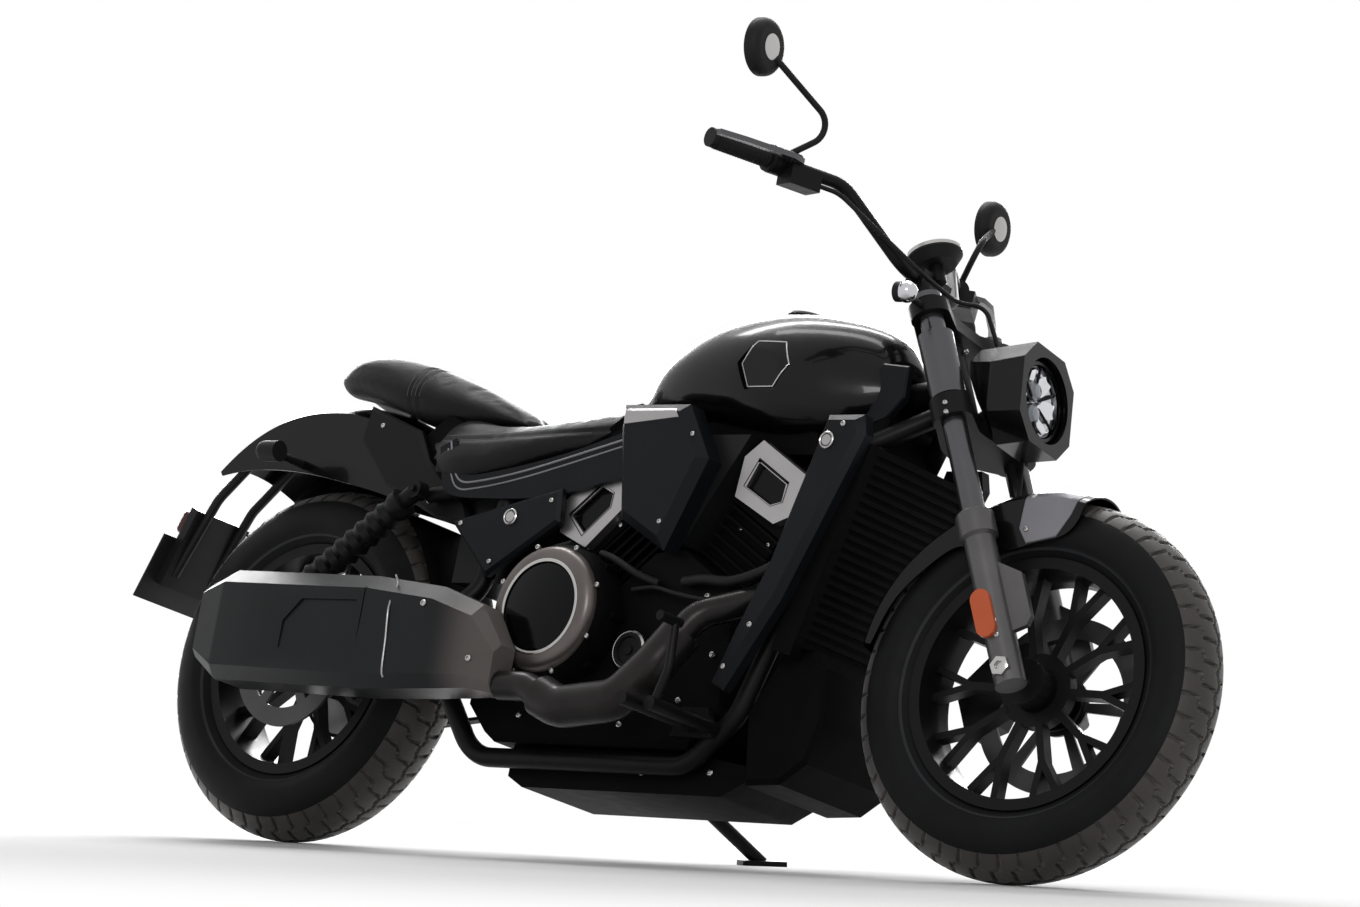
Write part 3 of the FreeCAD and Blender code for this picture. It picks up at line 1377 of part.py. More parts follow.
def engine():
    """The crankcase in one block, with a clutch cover, an alternator cover and a sump."""
    piece = Body("engine_case")
    outline = [("case_front - case_step", "case_low"), ("case_front", "case_low + case_step"),
               ("case_front", "crank_z")]
    foot = "barrel_foot - seat_gap"
    for angle, ends in (("front_bank_angle", (1, -1)), ("-rear_bank_angle", (1, -1))):
        for end in ends:
            outline.append((
                f"crank_x + ({foot}) * sin({angle}) + {end} * bank_length_half * cos({angle})",
                f"crank_z + ({foot}) * cos({angle}) - {end} * bank_length_half * sin({angle})"))
    outline += [(f"case_back + (crank_x - case_back) * {along}", f"case_low + (case_top - case_low) * {up}")
                for along, up in CASE_BACK_SHARES]
    piece.pad(piece.sketch("XZ_Plane", outline), "2 * case_half", midplane=True)
    piece.soften("case_bevel", lambda edge: edge.BoundBox.YLength < size.seat_gap
                 and edge.BoundBox.ZMax < size.case_low + size.seat_gap, "Chamfer")
    room = "front_pulley_radius + belt_thick + seat_gap + running_gap"
    floor = "belt_plane - belt_width / 2 - running_gap"
    recess = piece.sketch("XZ_Plane", circles=[("belt_front_x", "pivot_z", room)], lift="-case_half")
    piece.pocket(recess, f"case_half - ({floor})", reverse=True)
    boss = piece.sketch("XZ_Plane", circles=[("belt_front_x", "pivot_z", "front_pulley_radius")],
                        lift="-belt_plane - belt_width / 2")
    piece.pad(boss, "belt_width + 2 * running_gap")
    keep(piece)

    pan = Body("belly_pan")
    low, high = "belly_low", "case_low - seat_gap"
    floor_line = [
        ("belly_back", f"{low} + case_step * 0.3"), ("belly_back + case_step * 0.6", low),
        ("belly_front - case_step * 1.4", low), ("belly_front", f"{low} + case_step * 0.8"),
        ("case_front - case_step", high), ("belly_back", high),
    ]
    pan.pad(pan.sketch("XZ_Plane", floor_line), "2 * belly_half", midplane=True)
    keep(pan)

    clutch = Body("clutch_cover")
    wide, deep = "clutch_radius", "clutch_reach"
    profile = [
        ("seat_gap", "0"), ("seat_gap", wide), (f"{deep} * 0.55", wide), (f"{deep} * 0.92", f"{wide} * 0.88"),
        (deep, f"clutch_disc_radius + {wide} * 0.06"), (deep, "clutch_disc_radius"),
        (f"{deep} * 0.9", "clutch_disc_radius * 0.96"), (f"{deep} * 0.9", "clutch_disc_radius * 0.5"),
        (f"{deep} * 0.96", "clutch_disc_radius * 0.45"), (f"{deep} * 0.96", "0"),
    ]
    clutch.turn(clutch.sketch("YZ_Plane", profile))
    bolt = clutch.sketch("XZ_Plane", circles=[("clutch_radius + case_bolt * 0.2", "0", "case_bolt")],
                         lift="-clutch_reach * 0.4")
    foot = clutch.pad(bolt, "clutch_reach * 0.4 - seat_gap")
    clutch.ring([foot], "Y_Axis", "clutch_bolt_count")
    keep(clutch, "chassis", Vector(size.clutch_x, -size.case_half, size.clutch_z),
         Rotation(Vector(0, 0, 1), 180))

    cover = Body("alternator_cover")
    wide, deep = "alternator_radius", "alternator_reach"
    profile = [
        ("seat_gap", "0"), ("seat_gap", wide), (f"{deep} * 0.6", wide), (deep, f"{wide} * 0.82"),
        (deep, f"{wide} * 0.5"), (f"{deep} * 0.86", f"{wide} * 0.46"), (f"{deep} * 0.86", "0"),
    ]
    cover.turn(cover.sketch("YZ_Plane", profile))
    keep(cover, "chassis", Vector(size.alternator_x, size.case_half, size.alternator_z))


def bank(label):
    """One bank of cylinders: finned barrel, head above it, drawn along its own axis."""
    piece = Body(label)
    half, side = "bank_length_half", "bank_half"
    rows = "(barrel_top - barrel_foot) / fin_count"
    core = [(f"-({half}) + fin_reach", "barrel_foot"), (f"{half} - fin_reach", "barrel_foot"),
            (f"{half} - fin_reach", "barrel_top"), (f"-({half}) + fin_reach", "barrel_top")]
    piece.pad(piece.sketch("XZ_Plane", core), f"2 * {side} - 2 * fin_reach", midplane=True)
    low = f"barrel_foot + ({rows}) * 0.5"
    fin = [(f"-({half})", low), (half, low), (half, f"{low} + fin_thick"),
           (f"-({half})", f"{low} + fin_thick")]
    blade = piece.pad(piece.sketch("XZ_Plane", fin), f"2 * {side}", midplane=True)
    piece.row([blade], "Z_Axis", f"({rows}) * (fin_count - 1)", "fin_count")
    head = [
        (f"-({half})", "barrel_top"), (half, "barrel_top"), (f"{half} * 1.06", "barrel_top + fin_reach * 2"),
        (f"{half} * 0.9", "head_top - fin_reach * 1.6"), (f"{half} * 0.66", "head_top"),
        (f"-({half}) * 0.66", "head_top"), (f"-({half}) * 0.9", "head_top - fin_reach * 1.6"),
        (f"-({half}) * 1.06", "barrel_top + fin_reach * 2"),
    ]
    piece.pad(piece.sketch("XZ_Plane", head), f"2 * {side}", midplane=True)
    return piece


def head_cover(label):
    """Six-sided covers on both ends of a head, each with a sunk window."""
    piece = Body(label)
    half, high, foot = "bank_length_half * 1.14", "bank_cover_height", "head_top - bank_cover_height"
    outline = [
        (f"-({half}) * 0.62", f"{foot}"), (f"{half} * 0.7", f"{foot} + {high} * 0.06"),
        (half, f"{foot} + {high} * 0.34"), (f"{half} * 0.72", f"{foot} + {high}"),
        (f"-({half}) * 0.8", f"{foot} + {high}"), (f"-({half})", f"{foot} + {high} * 0.6"),
    ]
    window = [
        (f"-({half}) * 0.5", f"{foot} + {high} * 0.24"), (f"{half} * 0.34", f"{foot} + {high} * 0.26"),
        (f"{half} * 0.56", f"{foot} + {high} * 0.42"), (f"{half} * 0.4", f"{foot} + {high} * 0.68"),
        (f"-({half}) * 0.56", f"{foot} + {high} * 0.68"),
    ]
    plate = piece.pad(piece.sketch("XZ_Plane", outline, lift="bank_half + seat_gap"), "bank_cover_thick")
    sunk = piece.pocket(
        piece.sketch("XZ_Plane", window, lift="bank_half + bank_cover_thick * 0.5"), "bank_cover_thick", reverse=True)
    piece.mirror([plate, sunk])
    return piece


def banks():
    """Both banks in their V on the crankcase, and the covers on their heads."""
    for label, make in (("cylinder_banks", bank), ("head_covers", head_cover)):
        made = []
        for end, angle in (("front", size.front_bank_angle), ("rear", -size.rear_bank_angle)):
            piece = make(f"{end}_{label}")
            piece.body.Placement = Placement(Vector(size.crank_x, 0, size.crank_z),
                                             Rotation(Vector(0, 1, 0), angle))
            made.append(piece.body)
        if make is bank:
            made.append(exhaust_port())
        joined = doc.addObject("Part::Compound", label) if make is head_cover else doc.addObject(
            "Part::MultiFuse", label)
        joined.Label = label
        if make is head_cover:
            joined.Links = made
        else:
            joined.Shapes = made
        keep(joined)


def pipe_way():
    """The bends of the right exhaust pipe, from the front bank's port to the muffler."""
    start = Vector(size.muffler_front + 2 * size.seat_gap, 0, size.pipe_low)
    return [start + Vector(size.pipe_length * ahead, -size.pipe_out * outward, size.pipe_rise * up)
            for ahead, outward, up in PIPE_SHARES]


def exhaust_port():
    """The short stub on the front head that the pipe starts from."""
    way = pipe_way()
    back = (way[0] - way[1]).normalize()
    start = way[0] + back * size.seat_gap
    port = doc.addObject("Part::Cylinder", "exhaust_port")
    port.setExpression("Radius", "Size.pipe_radius + Size.overrun")
    port.setExpression("Height", "Size.pipe_turn_radius * 0.6")
    port.Placement = Placement(start, Rotation(Vector(0, 0, 1), back))
    return port


def in_box(name, shares):
    """Bound points of an outline given as shares of the piece's own length and height."""
    return [(f"{name}_x + {name}_length * {along}", f"{name}_z + {name}_height * {up}") for along,
            up in shares]


def in_box_now(name, shares):
    """The same points as numbers, for outlines drawn without a sketch."""
    return [tuple(amount(text) for text in point) for point in in_box(name, shares)]


def inner_boxes():
    """The airbox between the banks and the battery box under the seat, both moulded and closed."""
    air = side_plate(in_box_now("intake", INTAKE_SHARES), size.seat_gap - size.case_half,
                     size.case_half - size.seat_gap)
    low = Vector(size.battery_x, -size.battery_half, size.battery_z)
    battery = block(low, low + Vector(size.battery_length, 2 * size.battery_half, size.battery_height))
    keep(solid("airbox_and_battery_box", [air, battery]))


def covers():
    """The shield-shaped intake covers between the banks and the panels under the seat."""
    piece = Body("airbox_covers")
    shield = piece.sketch("XZ_Plane", in_box("airbox", AIRBOX_SHARES),
                          lift="-case_half - seat_gap - airbox_thick")
    plate = piece.pad(shield, "airbox_thick")
    doc.recompute()
    limit = size.case_half + size.airbox_thick - size.seat_gap
    bevel = piece.soften("airbox_bevel", lambda edge: edge.BoundBox.YMin > limit, "Chamfer")
    piece.mirror([plate, bevel])
    keep(piece)
    panel = Body("side_panels")
    sheet_metal = panel.sketch("XZ_Plane", in_box("panel", PANEL_SHARES), lift="-panel_inner - panel_thick")
    plate = panel.pad(sheet_metal, "panel_thick")
    doc.recompute()
    edge_at = size.panel_inner + size.panel_thick - 1
    bevel = panel.soften("panel_bevel", lambda edge: edge.BoundBox.YMin > edge_at, "Chamfer")
    panel.mirror([plate, bevel])
    keep(panel)


def radiator():
    """A finned core between two side tanks, leaning back with the downtubes, and its two guards."""
    piece = Body("radiator")
    half, high, deep = "radiator_half", "radiator_height / 2", "radiator_thick / 2"
    core = [(f"-({deep})", f"-({high})"), (deep, f"-({high})"), (deep, high), (f"-({deep})", high)]
    piece.pad(piece.sketch("XZ_Plane", core), f"2 * {half}", midplane=True)
    step = "radiator_height / (radiator_fin_count + 1)"
    low = f"-({high}) + ({step}) * 0.75"
    slot = [(f"{deep} - fin_reach * 0.6", low), (f"{deep} + fin_reach", low),
            (f"{deep} + fin_reach", f"{low} + ({step}) * 0.5"), (f"{deep} - fin_reach * 0.6",
                                                                 f"{low} + ({step}) * 0.5")]
    groove = piece.pocket(piece.sketch("XZ_Plane", slot), f"2 * {half} - 4 * fin_reach", midplane=True)
    piece.row([groove], "Z_Axis", f"({step}) * (radiator_fin_count - 1)", "radiator_fin_count")
    keep(piece, "chassis", Vector(size.radiator_x, 0, size.radiator_z),
         Rotation(Vector(0, 1, 0), size.radiator_lean))
    guards = Body("radiator_guards")
    band = guards.sketch("XZ_Plane", in_box("guard", GUARD_SHARES),
                         lift="-radiator_half - seat_gap - guard_thick")
    plate = guards.pad(band, "guard_thick")
    doc.recompute()
    edge_at = size.radiator_half + size.guard_thick - 1
    bevel = guards.soften("guard_bevel", lambda edge: edge.BoundBox.YMin > edge_at, "Chamfer")
    guards.mirror([plate, bevel])
    keep(guards)


def exhaust():
    """The front bank's pipe on the right, and the long flat-sided muffler that it ends in."""
    way = pipe_way()
    keep(solid("exhaust_pipe", [tube(way, size.pipe_radius, size.pipe_turn_radius)]))
    lower = [way[3] + (way[4] - way[3]) * 0.35, way[4], way[5], way[6], way[6] + (way[7] - way[6]) * 0.55]
    core = tube(way, size.pipe_radius + size.seat_gap, size.pipe_turn_radius)
    keep(solid("exhaust_shield", [tube(lower, size.shield_radius, size.pipe_turn_radius).cut(core)]))
    length = size.muffler_front - size.muffler_back
    cuts = []
    for along, low, high, narrow in MUFFLER_SHARES:
        place = size.muffler_back + length * along
        base = size.muffler_low + size.muffler_height * low
        peak = size.muffler_low + size.muffler_height * high
        inner, outer = -size.muffler_inner - narrow * size.muffler_bevel, -size.muffler_outer + narrow * size.muffler_bevel
        bevel = size.muffler_bevel * (1 - narrow * 0.4)
        cuts.append(wire([
            Vector(place, inner, base + bevel), Vector(place, inner, peak - bevel),
            Vector(place, inner - bevel, peak), Vector(place, outer + bevel * 1.3, peak),
            Vector(place, outer, peak - bevel * 1.3), Vector(place, outer + bevel * 0.2, base + bevel),
            Vector(place, outer + bevel, base), Vector(place, inner - bevel, base),
        ]))
    body = loft(cuts, True)
    seam_at = size.muffler_back + length * size.seam_share
    seam = block(Vector(seam_at, -size.muffler_outer - size.overrun, size.muffler_low),
                 Vector(seam_at + size.fender_thick, -size.muffler_outer + size.fender_thick,
                        size.muffler_low + size.muffler_height))
    body = body.cut(seam)
    mouth = rod(Vector(size.muffler_back - size.overrun, -(size.muffler_inner + size.muffler_outer) / 2,
                       size.muffler_low + size.muffler_height * 0.42),
                Vector(size.muffler_back + size.pipe_turn_radius,
                       -(size.muffler_inner + size.muffler_outer) / 2,
                       size.muffler_low + size.muffler_height * 0.42), size.pipe_radius)
    room = Part.makeCylinder(size.clutch_radius + size.running_gap,
                             size.case_half + size.clutch_reach + size.running_gap,
                             Vector(size.clutch_x, 0, size.clutch_z), Vector(0, -1, 0))
    inset = side_plate(in_box_now("inset", INSET_SHARES), size.inset_depth - size.muffler_outer,
                       -size.muffler_outer - size.overrun)
    keep(solid("muffler", [body.cut(mouth).cut(room).cut(inset)]))


def cushion(label, stations, half, hollows):
    """A stuffed pad: rounded cuts along its length, crowned above and hollowed to sit on what is below."""
    cuts = []
    for place, base, peak, wide in stations:
        across, rise = half * wide, peak - base
        ring = [(0, peak), (across * 0.55, peak - rise * 0.05), (across * 0.92, peak - rise * 0.34),
                (across, base + rise * 0.3), (across * 0.84, base), (0, base)]
        ring += [(-side, rise_at) for side, rise_at in reversed(ring[1:-1])]
        curve = Part.BSplineCurve()
        curve.interpolate([Vector(place, side, up) for side, up in ring], PeriodicFlag=True)
        cuts.append(Part.Wire([curve.toShape()]))
    keep(solid(label, [loft(cuts).cut(fused(hollows))]))


def seats():
    length = size.seat_front - size.seat_back
    tall = size.seat_top - size.seat_low
    ceiling = [(size.seat_back + length * along, size.seat_low + tall * up) for along, up in CHANNEL_SHARES]
    floor = [(ceiling[-1][0], size.seat_low - tall), (ceiling[0][0], size.seat_low - tall)]
    channel = side_plate(ceiling + floor, -size.seat_channel_half, size.seat_channel_half)
    under = block(Vector(size.seat_back - tall, -size.seat_half, size.pillion_low - size.seat_gap),
                  Vector(size.pillion_front, size.seat_half, size.pillion_top))
    crown = Part.makeCylinder(size.rear_crown_radius + size.seat_gap, 2 * size.seat_half,
                              rear_axle_at - Vector(0, size.seat_half, 0), Vector(0, 1, 0))
    cushion("rider_seat", [
        (size.seat_back + length * along, size.seat_low + tall * base, size.seat_low + tall * peak, wide)
        for along, base, peak, wide in SEAT_SHARES], size.seat_half, [channel, under])
    length = size.pillion_front - size.pillion_back
    tall = size.pillion_top - size.pillion_low
    below = block(Vector(size.pillion_back, -size.seat_half, size.seat_low),
                  Vector(size.pillion_front + tall, size.seat_half, size.pillion_low))
    cushion("pillion_seat", [
        (size.pillion_back + length * along, size.pillion_low + tall * base, size.pillion_low + tall * peak,
         wide)
        for along, base, peak, wide in PILLION_SHARES], size.pillion_half, [below, crown])


def tail_covers():
    """The plates that carry the rear fender between the seat rails and the shocks' upper ends."""
    piece = Body("tail_covers")
    plate = piece.sketch("XZ_Plane", in_box("tail", TAIL_SHARES),
                         lift="-rear_fender_half - seat_gap - tail_thick")
    side = piece.pad(plate, "tail_thick")
    doc.recompute()
    edge_at = size.rear_fender_half + size.tail_thick - 1
    bevel = piece.soften("tail_bevel", lambda edge: edge.BoundBox.YMin > edge_at, "Chamfer")
    piece.mirror([side, bevel])
    keep(piece)


def about_rear(angle, sink):
    """A point on the middle plane, that angle up from straight ahead and that far inside the fender's crown."""
    turn = math.radians(angle)
    return rear_axle_at + Vector(math.cos(turn), 0, math.sin(turn)) * (size.rear_crown_radius - sink)


def tail():
    """Plate arm and plate, tail lamp and rear signals."""
    half = size.rear_fender_half
    tip = math.radians(size.plate_tip)
    ahead = Vector(math.cos(tip), 0, -math.sin(tip))
    plate = Body("number_plate")
    outline = [("-plate_width / 2", "-plate_height / 2"), ("plate_width / 2", "-plate_height / 2"),
               ("plate_width / 2", "plate_height / 2"), ("-plate_width / 2", "plate_height / 2")]
    plate.pad(plate.sketch("YZ_Plane", outline), "plate_thick")
    root = about_rear(size.plate_root_angle, size.plate_root_sink)
    knee = root - Vector(size.plate_knee_back, 0, size.plate_knee_drop)
    middle = knee - Vector(size.plate_back, 0, size.plate_drop)
    turn = Rotation(Vector(0, 1, 0), size.plate_tip)
    keep(plate, "chassis", middle, turn)
    arm = size.bar_radius * 0.8
    back = middle + ahead * (size.plate_thick + size.seat_gap + arm)
    shapes = []
    for side in (-1, 1):
        across = Vector(0, side * half * 0.45, 0)
        way = [back + across + ahead * size.overrun, knee + across, root + across]
        shapes.append(tube(way, arm, size.pipe_turn_radius))
    pad = block(Vector(-arm, -half * 0.7, -size.plate_height * 0.2),
                Vector(arm, half * 0.7, size.plate_height))
    pad.Placement = Placement(back, turn)
    keep(solid("plate_arm", [fused(shapes + [pad])]))
    pods = []
    for side in (-1, 1):
        middle_plane = about_rear(size.rear_signal_angle, size.rear_signal_sink)
        spot = middle_plane + Vector(0, side * size.rear_signal_half, 0)
        stalk = middle_plane + Vector(0, side * (half + size.seat_gap), 0)
        pods.append(lamp_pod(spot, Vector(-1, 0, 0), size.rear_signal_radius, size.rear_signal_radius * 3,
                             stalk, size.bar_radius * 0.7))
    keep(solid("rear_signals", pods))
    lamp = block(Vector(-size.tail_lamp_depth, -size.tail_lamp_half, size.tail_lamp_rise),
                 Vector(size.plate_thick, size.tail_lamp_half, size.tail_lamp_rise + size.tail_lamp_height))
    rims = [edge for edge in lamp.Edges if edge.BoundBox.XMin < -size.overrun]
    lamp = lamp.makeFillet(size.tail_lamp_depth * 0.3, rims)
    keep(solid("tail_lamp", [lamp]), "chassis", middle, turn)


def foot_controls():
    """Forward pegs with the brake pedal on the right and the shift pedal on the left."""
    shapes = []
    for side in (-1, 1):
        def spot(ahead, out, up):
            return Vector(size.peg_x + ahead, side * out, size.peg_z + up)

        inner = max(size.case_half, size.cradle_half + size.tube_radius) + size.seat_gap
        bracket = side_plate([
            (size.peg_x - size.peg_bracket, size.peg_z - size.peg_bracket * 0.4),
            (size.peg_x + size.peg_bracket, size.peg_z - size.peg_bracket * 0.4),
            (size.peg_x + size.peg_bracket * 0.6, size.peg_z + size.peg_bracket * 0.7),
            (size.peg_x - size.peg_bracket * 0.6, size.peg_z + size.peg_bracket * 0.7),
        ], side * inner, side * (inner + size.bracket_thick))
        peg = rod(spot(0, inner + size.overrun, 0), spot(0, size.peg_out, 0), size.peg_radius)
        lever_at = size.lever_out
        hub_at = size.peg_radius * 3
        arm = tube([spot(hub_at, lever_at, 0), spot(size.pedal_reach, lever_at, size.pedal_rise * 0.43),
                    spot(size.pedal_reach * 0.9, lever_at, size.pedal_rise)],
                   size.bar_radius * 0.7, size.pipe_turn_radius)
        hub = rod(spot(hub_at, inner, 0), spot(hub_at, lever_at + size.peg_radius, 0), size.peg_radius)
        toe = rod(spot(size.pedal_reach * 0.9, lever_at - size.peg_radius, size.pedal_rise),
                  spot(size.pedal_reach * 0.9, size.peg_out, size.pedal_rise), size.peg_radius * 0.7)
        shapes.append(fused([bracket, peg, hub, arm, toe]))
    keep(solid("foot_controls", shapes))


def side_stand(stance):
    """A leg from its pivot lug to a foot that lies flat on the ground where the machine leans."""
    frame_at = stance.multiply(stand_frame())
    pivot = frame_at.Base
    axis = frame_at.Rotation.multVec(Vector(0, 0, 1))
    foot = Vector(size.stand_foot_x, size.stand_foot_y, 0)
    half = size.stand_leg_radius * 1.1
    lug = Part.makeCylinder(size.stand_leg_radius * 1.6, 2 * half, pivot - axis * half, axis)
    leg = rod(pivot, foot + Vector(0, 0, size.stand_foot_thick * 0.5), size.stand_leg_radius)
    way = Vector(foot.x - pivot.x, foot.y - pivot.y, 0).normalize()
    long, wide, thick = size.stand_foot_length / 2, size.stand_foot_width / 2, size.stand_foot_thick
    pad = block(Vector(-long, -wide, 0), Vector(long, wide, thick))
    pad.Placement = Placement(foot, Rotation(Vector(1, 0, 0), way))
    below = block(foot - Vector(2 * long, 2 * long, 2 * long), foot + Vector(2 * long, 2 * long, 0))
    bore = Part.makeCylinder(size.axle_radius + size.pin_gap, 4 * half, pivot - axis * 2 * half, axis)
    shape = fused([lug, leg, pad]).cut(below).cut(bore)
    keep(solid("side_stand", [shape]), "ground")


def drive():
    """The belt round its two pulleys, and the rear pulley on the wheel."""
    piece = Body("rear_pulley")
    wide = "belt_width / 2"
    outline = [
        (f"belt_plane - {wide}", "hub_radius + seat_gap"), (f"belt_plane - {wide}", "rear_pulley_radius"),
        (f"belt_plane + {wide}", "rear_pulley_radius"), (f"belt_plane + {wide}", "rear_pulley_radius * 0.86"),
        ("belt_plane", "rear_pulley_radius * 0.82"), ("belt_plane", "hub_radius + seat_gap"),
    ]
    piece.turn(piece.sketch("YZ_Plane", outline))
    keep(piece, "rear_wheel", rear_axle_at)
    big, small = size.rear_pulley_radius + size.seat_gap, size.front_pulley_radius + size.seat_gap
    near = size.belt_plane - size.belt_width / 2
    shapes = []
    for thick in (size.belt_thick, 0):
        first, second = big + thick, small + thick
        start = Vector(0, near, size.rear_tyre_radius)
        end = Vector(size.belt_front_x, near, size.pivot_z)
        span = end - start
        tilt = math.acos((first - second) / span.Length)
        along = span.normalize()
        up = Vector(-along.z, 0, along.x)

        def rim(centre, radius, angle):
            return centre + (along * math.cos(angle) + up * math.sin(angle)) * radius

        loop = Part.Wire([
            Part.Arc(rim(start, first, tilt), rim(start, first, math.pi), rim(start, first, -tilt)).toShape(),
            Part.LineSegment(rim(start, first, -tilt), rim(end, second, -tilt)).toShape(),
            Part.Arc(rim(end, second, -tilt), rim(end, second, 0), rim(end, second, tilt)).toShape(),
            Part.LineSegment(rim(end, second, tilt), rim(start, first, tilt)).toShape(),
        ])
        shapes.append(Part.Face(loop))
    belt = shapes[0].cut(shapes[1]).Faces[0].extrude(Vector(0, size.belt_width, 0))
    keep(solid("drive_belt", [belt]))


def rear_caliper():
    piece = Body("rear_caliper")
    reach, edge = "rear_disc_radius - disc_band", "rear_disc_radius + running_gap + bracket_thick"
    outline = [(f"-({reach}) * 0.9", "-arm_depth * 0.9"), (f"-({edge})", "-arm_depth * 0.7"),
               (f"-({edge})", "arm_depth * 0.5"), (f"-({reach}) * 0.9", "arm_depth * 0.6")]
    piece.pad(piece.sketch("XZ_Plane", outline, lift="disc_plane - 4 * overrun"),
              "arm_inner - disc_plane + 4 * overrun - seat_gap")
    slot = piece.sketch("XZ_Plane", circles=[("0", "0", "rear_disc_radius + running_gap")],
                        lift="disc_plane - disc_thick / 2 - running_gap")
    piece.pocket(slot, "disc_thick + 2 * running_gap", reverse=True)
    keep(piece, "chassis", rear_axle_at)


wheels()
steering()
tank()
frame()
swingarm()
shocks()
engine()
banks()
inner_boxes()
covers()
radiator()
exhaust()
seats()
tail_covers()
fender("rear_fender", "chassis", rear_axle_at, REAR_FENDER_SHARES, size.rear_crown_radius,
       size.rear_fender_half, size.rear_shoulder_drop)
tail()
foot_controls()
drive()
rear_caliper()
side_stand(park()[0])
settle()
check()
export()
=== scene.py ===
# %% [markdown]
# # A black cruiser motorcycle on its side stand
# The imported CAD model is the frame: every piece below is placed in its metres and rides on one
# of its bodies. The steps go from the studio to the finishes, then from the tyres up to the bars.

# %% Load the frame
import json
import math

import bpy
import numpy as np
from mathutils import Matrix, Vector
from mathutils.bvhtree import BVHTree


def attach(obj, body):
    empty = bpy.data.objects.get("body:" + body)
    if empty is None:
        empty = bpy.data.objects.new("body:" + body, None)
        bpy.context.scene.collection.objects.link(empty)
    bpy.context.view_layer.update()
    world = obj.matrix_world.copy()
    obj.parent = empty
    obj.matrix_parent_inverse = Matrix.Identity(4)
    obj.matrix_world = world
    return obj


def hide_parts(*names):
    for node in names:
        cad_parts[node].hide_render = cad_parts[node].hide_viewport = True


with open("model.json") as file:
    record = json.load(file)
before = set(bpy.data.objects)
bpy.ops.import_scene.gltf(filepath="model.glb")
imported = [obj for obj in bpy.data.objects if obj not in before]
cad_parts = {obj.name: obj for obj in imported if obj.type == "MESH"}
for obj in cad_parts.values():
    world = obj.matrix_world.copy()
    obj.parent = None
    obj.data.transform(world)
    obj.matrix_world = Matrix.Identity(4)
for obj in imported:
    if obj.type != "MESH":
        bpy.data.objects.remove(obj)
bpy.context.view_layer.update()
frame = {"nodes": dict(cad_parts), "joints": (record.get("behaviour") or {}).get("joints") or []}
NODES = frame["nodes"]


def shown(name, data):
    """A new object of the scene that holds the data."""
    thing = bpy.data.objects.new(name, data)
    bpy.context.scene.collection.objects.link(thing)
    return thing


# %% [markdown]
# ## Where the machine stands
# The motorcycle leans on its stand and its bars are turned, so nothing on it is level. Each
# piece is worked out on the upright machine, in millimetres from the ground under the rear
# axle, and one matrix then leans it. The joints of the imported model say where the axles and
# the steering lie, and those lines are enough to find that matrix, with nothing to fit by eye.

# %% Matrices from the upright machine to the frame
RAKE = math.radians(26)
WHEELBASE, FRONT_RADIUS, REAR_RADIUS = 1620.0, 320.0, 323.0
JOINTS = {joint["name"]: joint for joint in frame["joints"]}


def unit(vector):
    """The same direction at length one."""
    vector = np.asarray(vector, float)
    return vector / np.linalg.norm(vector)


def machine_frame(axle_joint, axle_at):
    """A 3 by 4 matrix from upright millimetres to metres: across is the axle's line, the fork's
    line gives up and ahead through the rake, and the axle's centre fixes the place."""
    across = unit(JOINTS[axle_joint]["axis"])
    fork = unit(JOINTS["steering_turn"]["axis"])
    fore = unit(np.cross(across, fork))
    ahead = math.cos(RAKE) * fore - math.sin(RAKE) * fork
    upward = math.sin(RAKE) * fore + math.cos(RAKE) * fork
    turn = np.stack([ahead, across, upward], axis=1) / 1000
    place = np.array(JOINTS[axle_joint]["pos_m"]) - turn @ np.asarray(axle_at, float)
    return np.column_stack([turn, place])


CHASSIS = machine_frame("rear_wheel_spin", (0, 0, REAR_RADIUS))
STEERED = machine_frame("front_wheel_spin", (WHEELBASE, 0, FRONT_RADIUS))


def placed(points, matrix):
    """Points of the upright machine in the frame's metres, as one array."""
    points = np.asarray(points, float)
    return points @ matrix[:, :3].T + matrix[:, 3]


print("machine's ground point", placed((0, 0, 0), CHASSIS).round(4))

# %% [markdown]
# ## Camera
# The photograph is taken from knee height, at the front right, with a long lens. The camera's
# place, aim, roll and lens were worked out from the wheels' outlines and the wheelbase, and are
# given here from the middle of the wheelbase on the ground. The small roll is the tilt of a
# camera that stands a little off level.

# %% The camera
PICTURE_WIDTH, FOCAL_PIXELS, SENSOR = 1360.0, 5587.3, 36.0
MIDDLE = placed((WHEELBASE / 2, 0, 0), CHASSIS) * (1, 1, 0)
CAMERA_AT = MIDDLE + (6.258, -7.100, 0.199)
CAMERA_AIM = MIDDLE + (0.0909, 0.0, 0.6923)
CAMERA_ROLL = math.radians(2.34)

camera = shown("camera", bpy.data.cameras.new("camera"))
camera.data.sensor_width = SENSOR
camera.data.lens = FOCAL_PIXELS / PICTURE_WIDTH * SENSOR
camera.data.clip_end = 100
way = Vector(CAMERA_AIM - CAMERA_AT)
camera.rotation_mode = "QUATERNION"
roll = Matrix.Rotation(CAMERA_ROLL, 4, "Z").to_quaternion()
camera.rotation_quaternion = way.to_track_quat("-Z", "Y") @ roll
camera.location = CAMERA_AT
bpy.context.scene.camera = camera
print("lens", round(camera.data.lens, 1), "mm")

# %% [markdown]
# ## Studio
# The object is nearly all black, so it is its reflections that draw it. A white room fills the
# paint with an even pale reflection. A wide low lamp stands behind, as a bright sky would, and
# draws the edges of the tank, the fenders, the seats and the muffler, with a strip above it for
# their crowns. The other two fill the top and the side that the camera sees.

# %% Helpers for node trees
def add(tree, kind, values=(), **settings):
    """A new node of a tree: its own settings first, then its inputs' values by name."""
    made = tree.nodes.new(kind)
    for name, setting in settings.items():
        setattr(made, name, setting)
    for name, value in dict(values).items():
        made.inputs[name].default_value = value
    return made


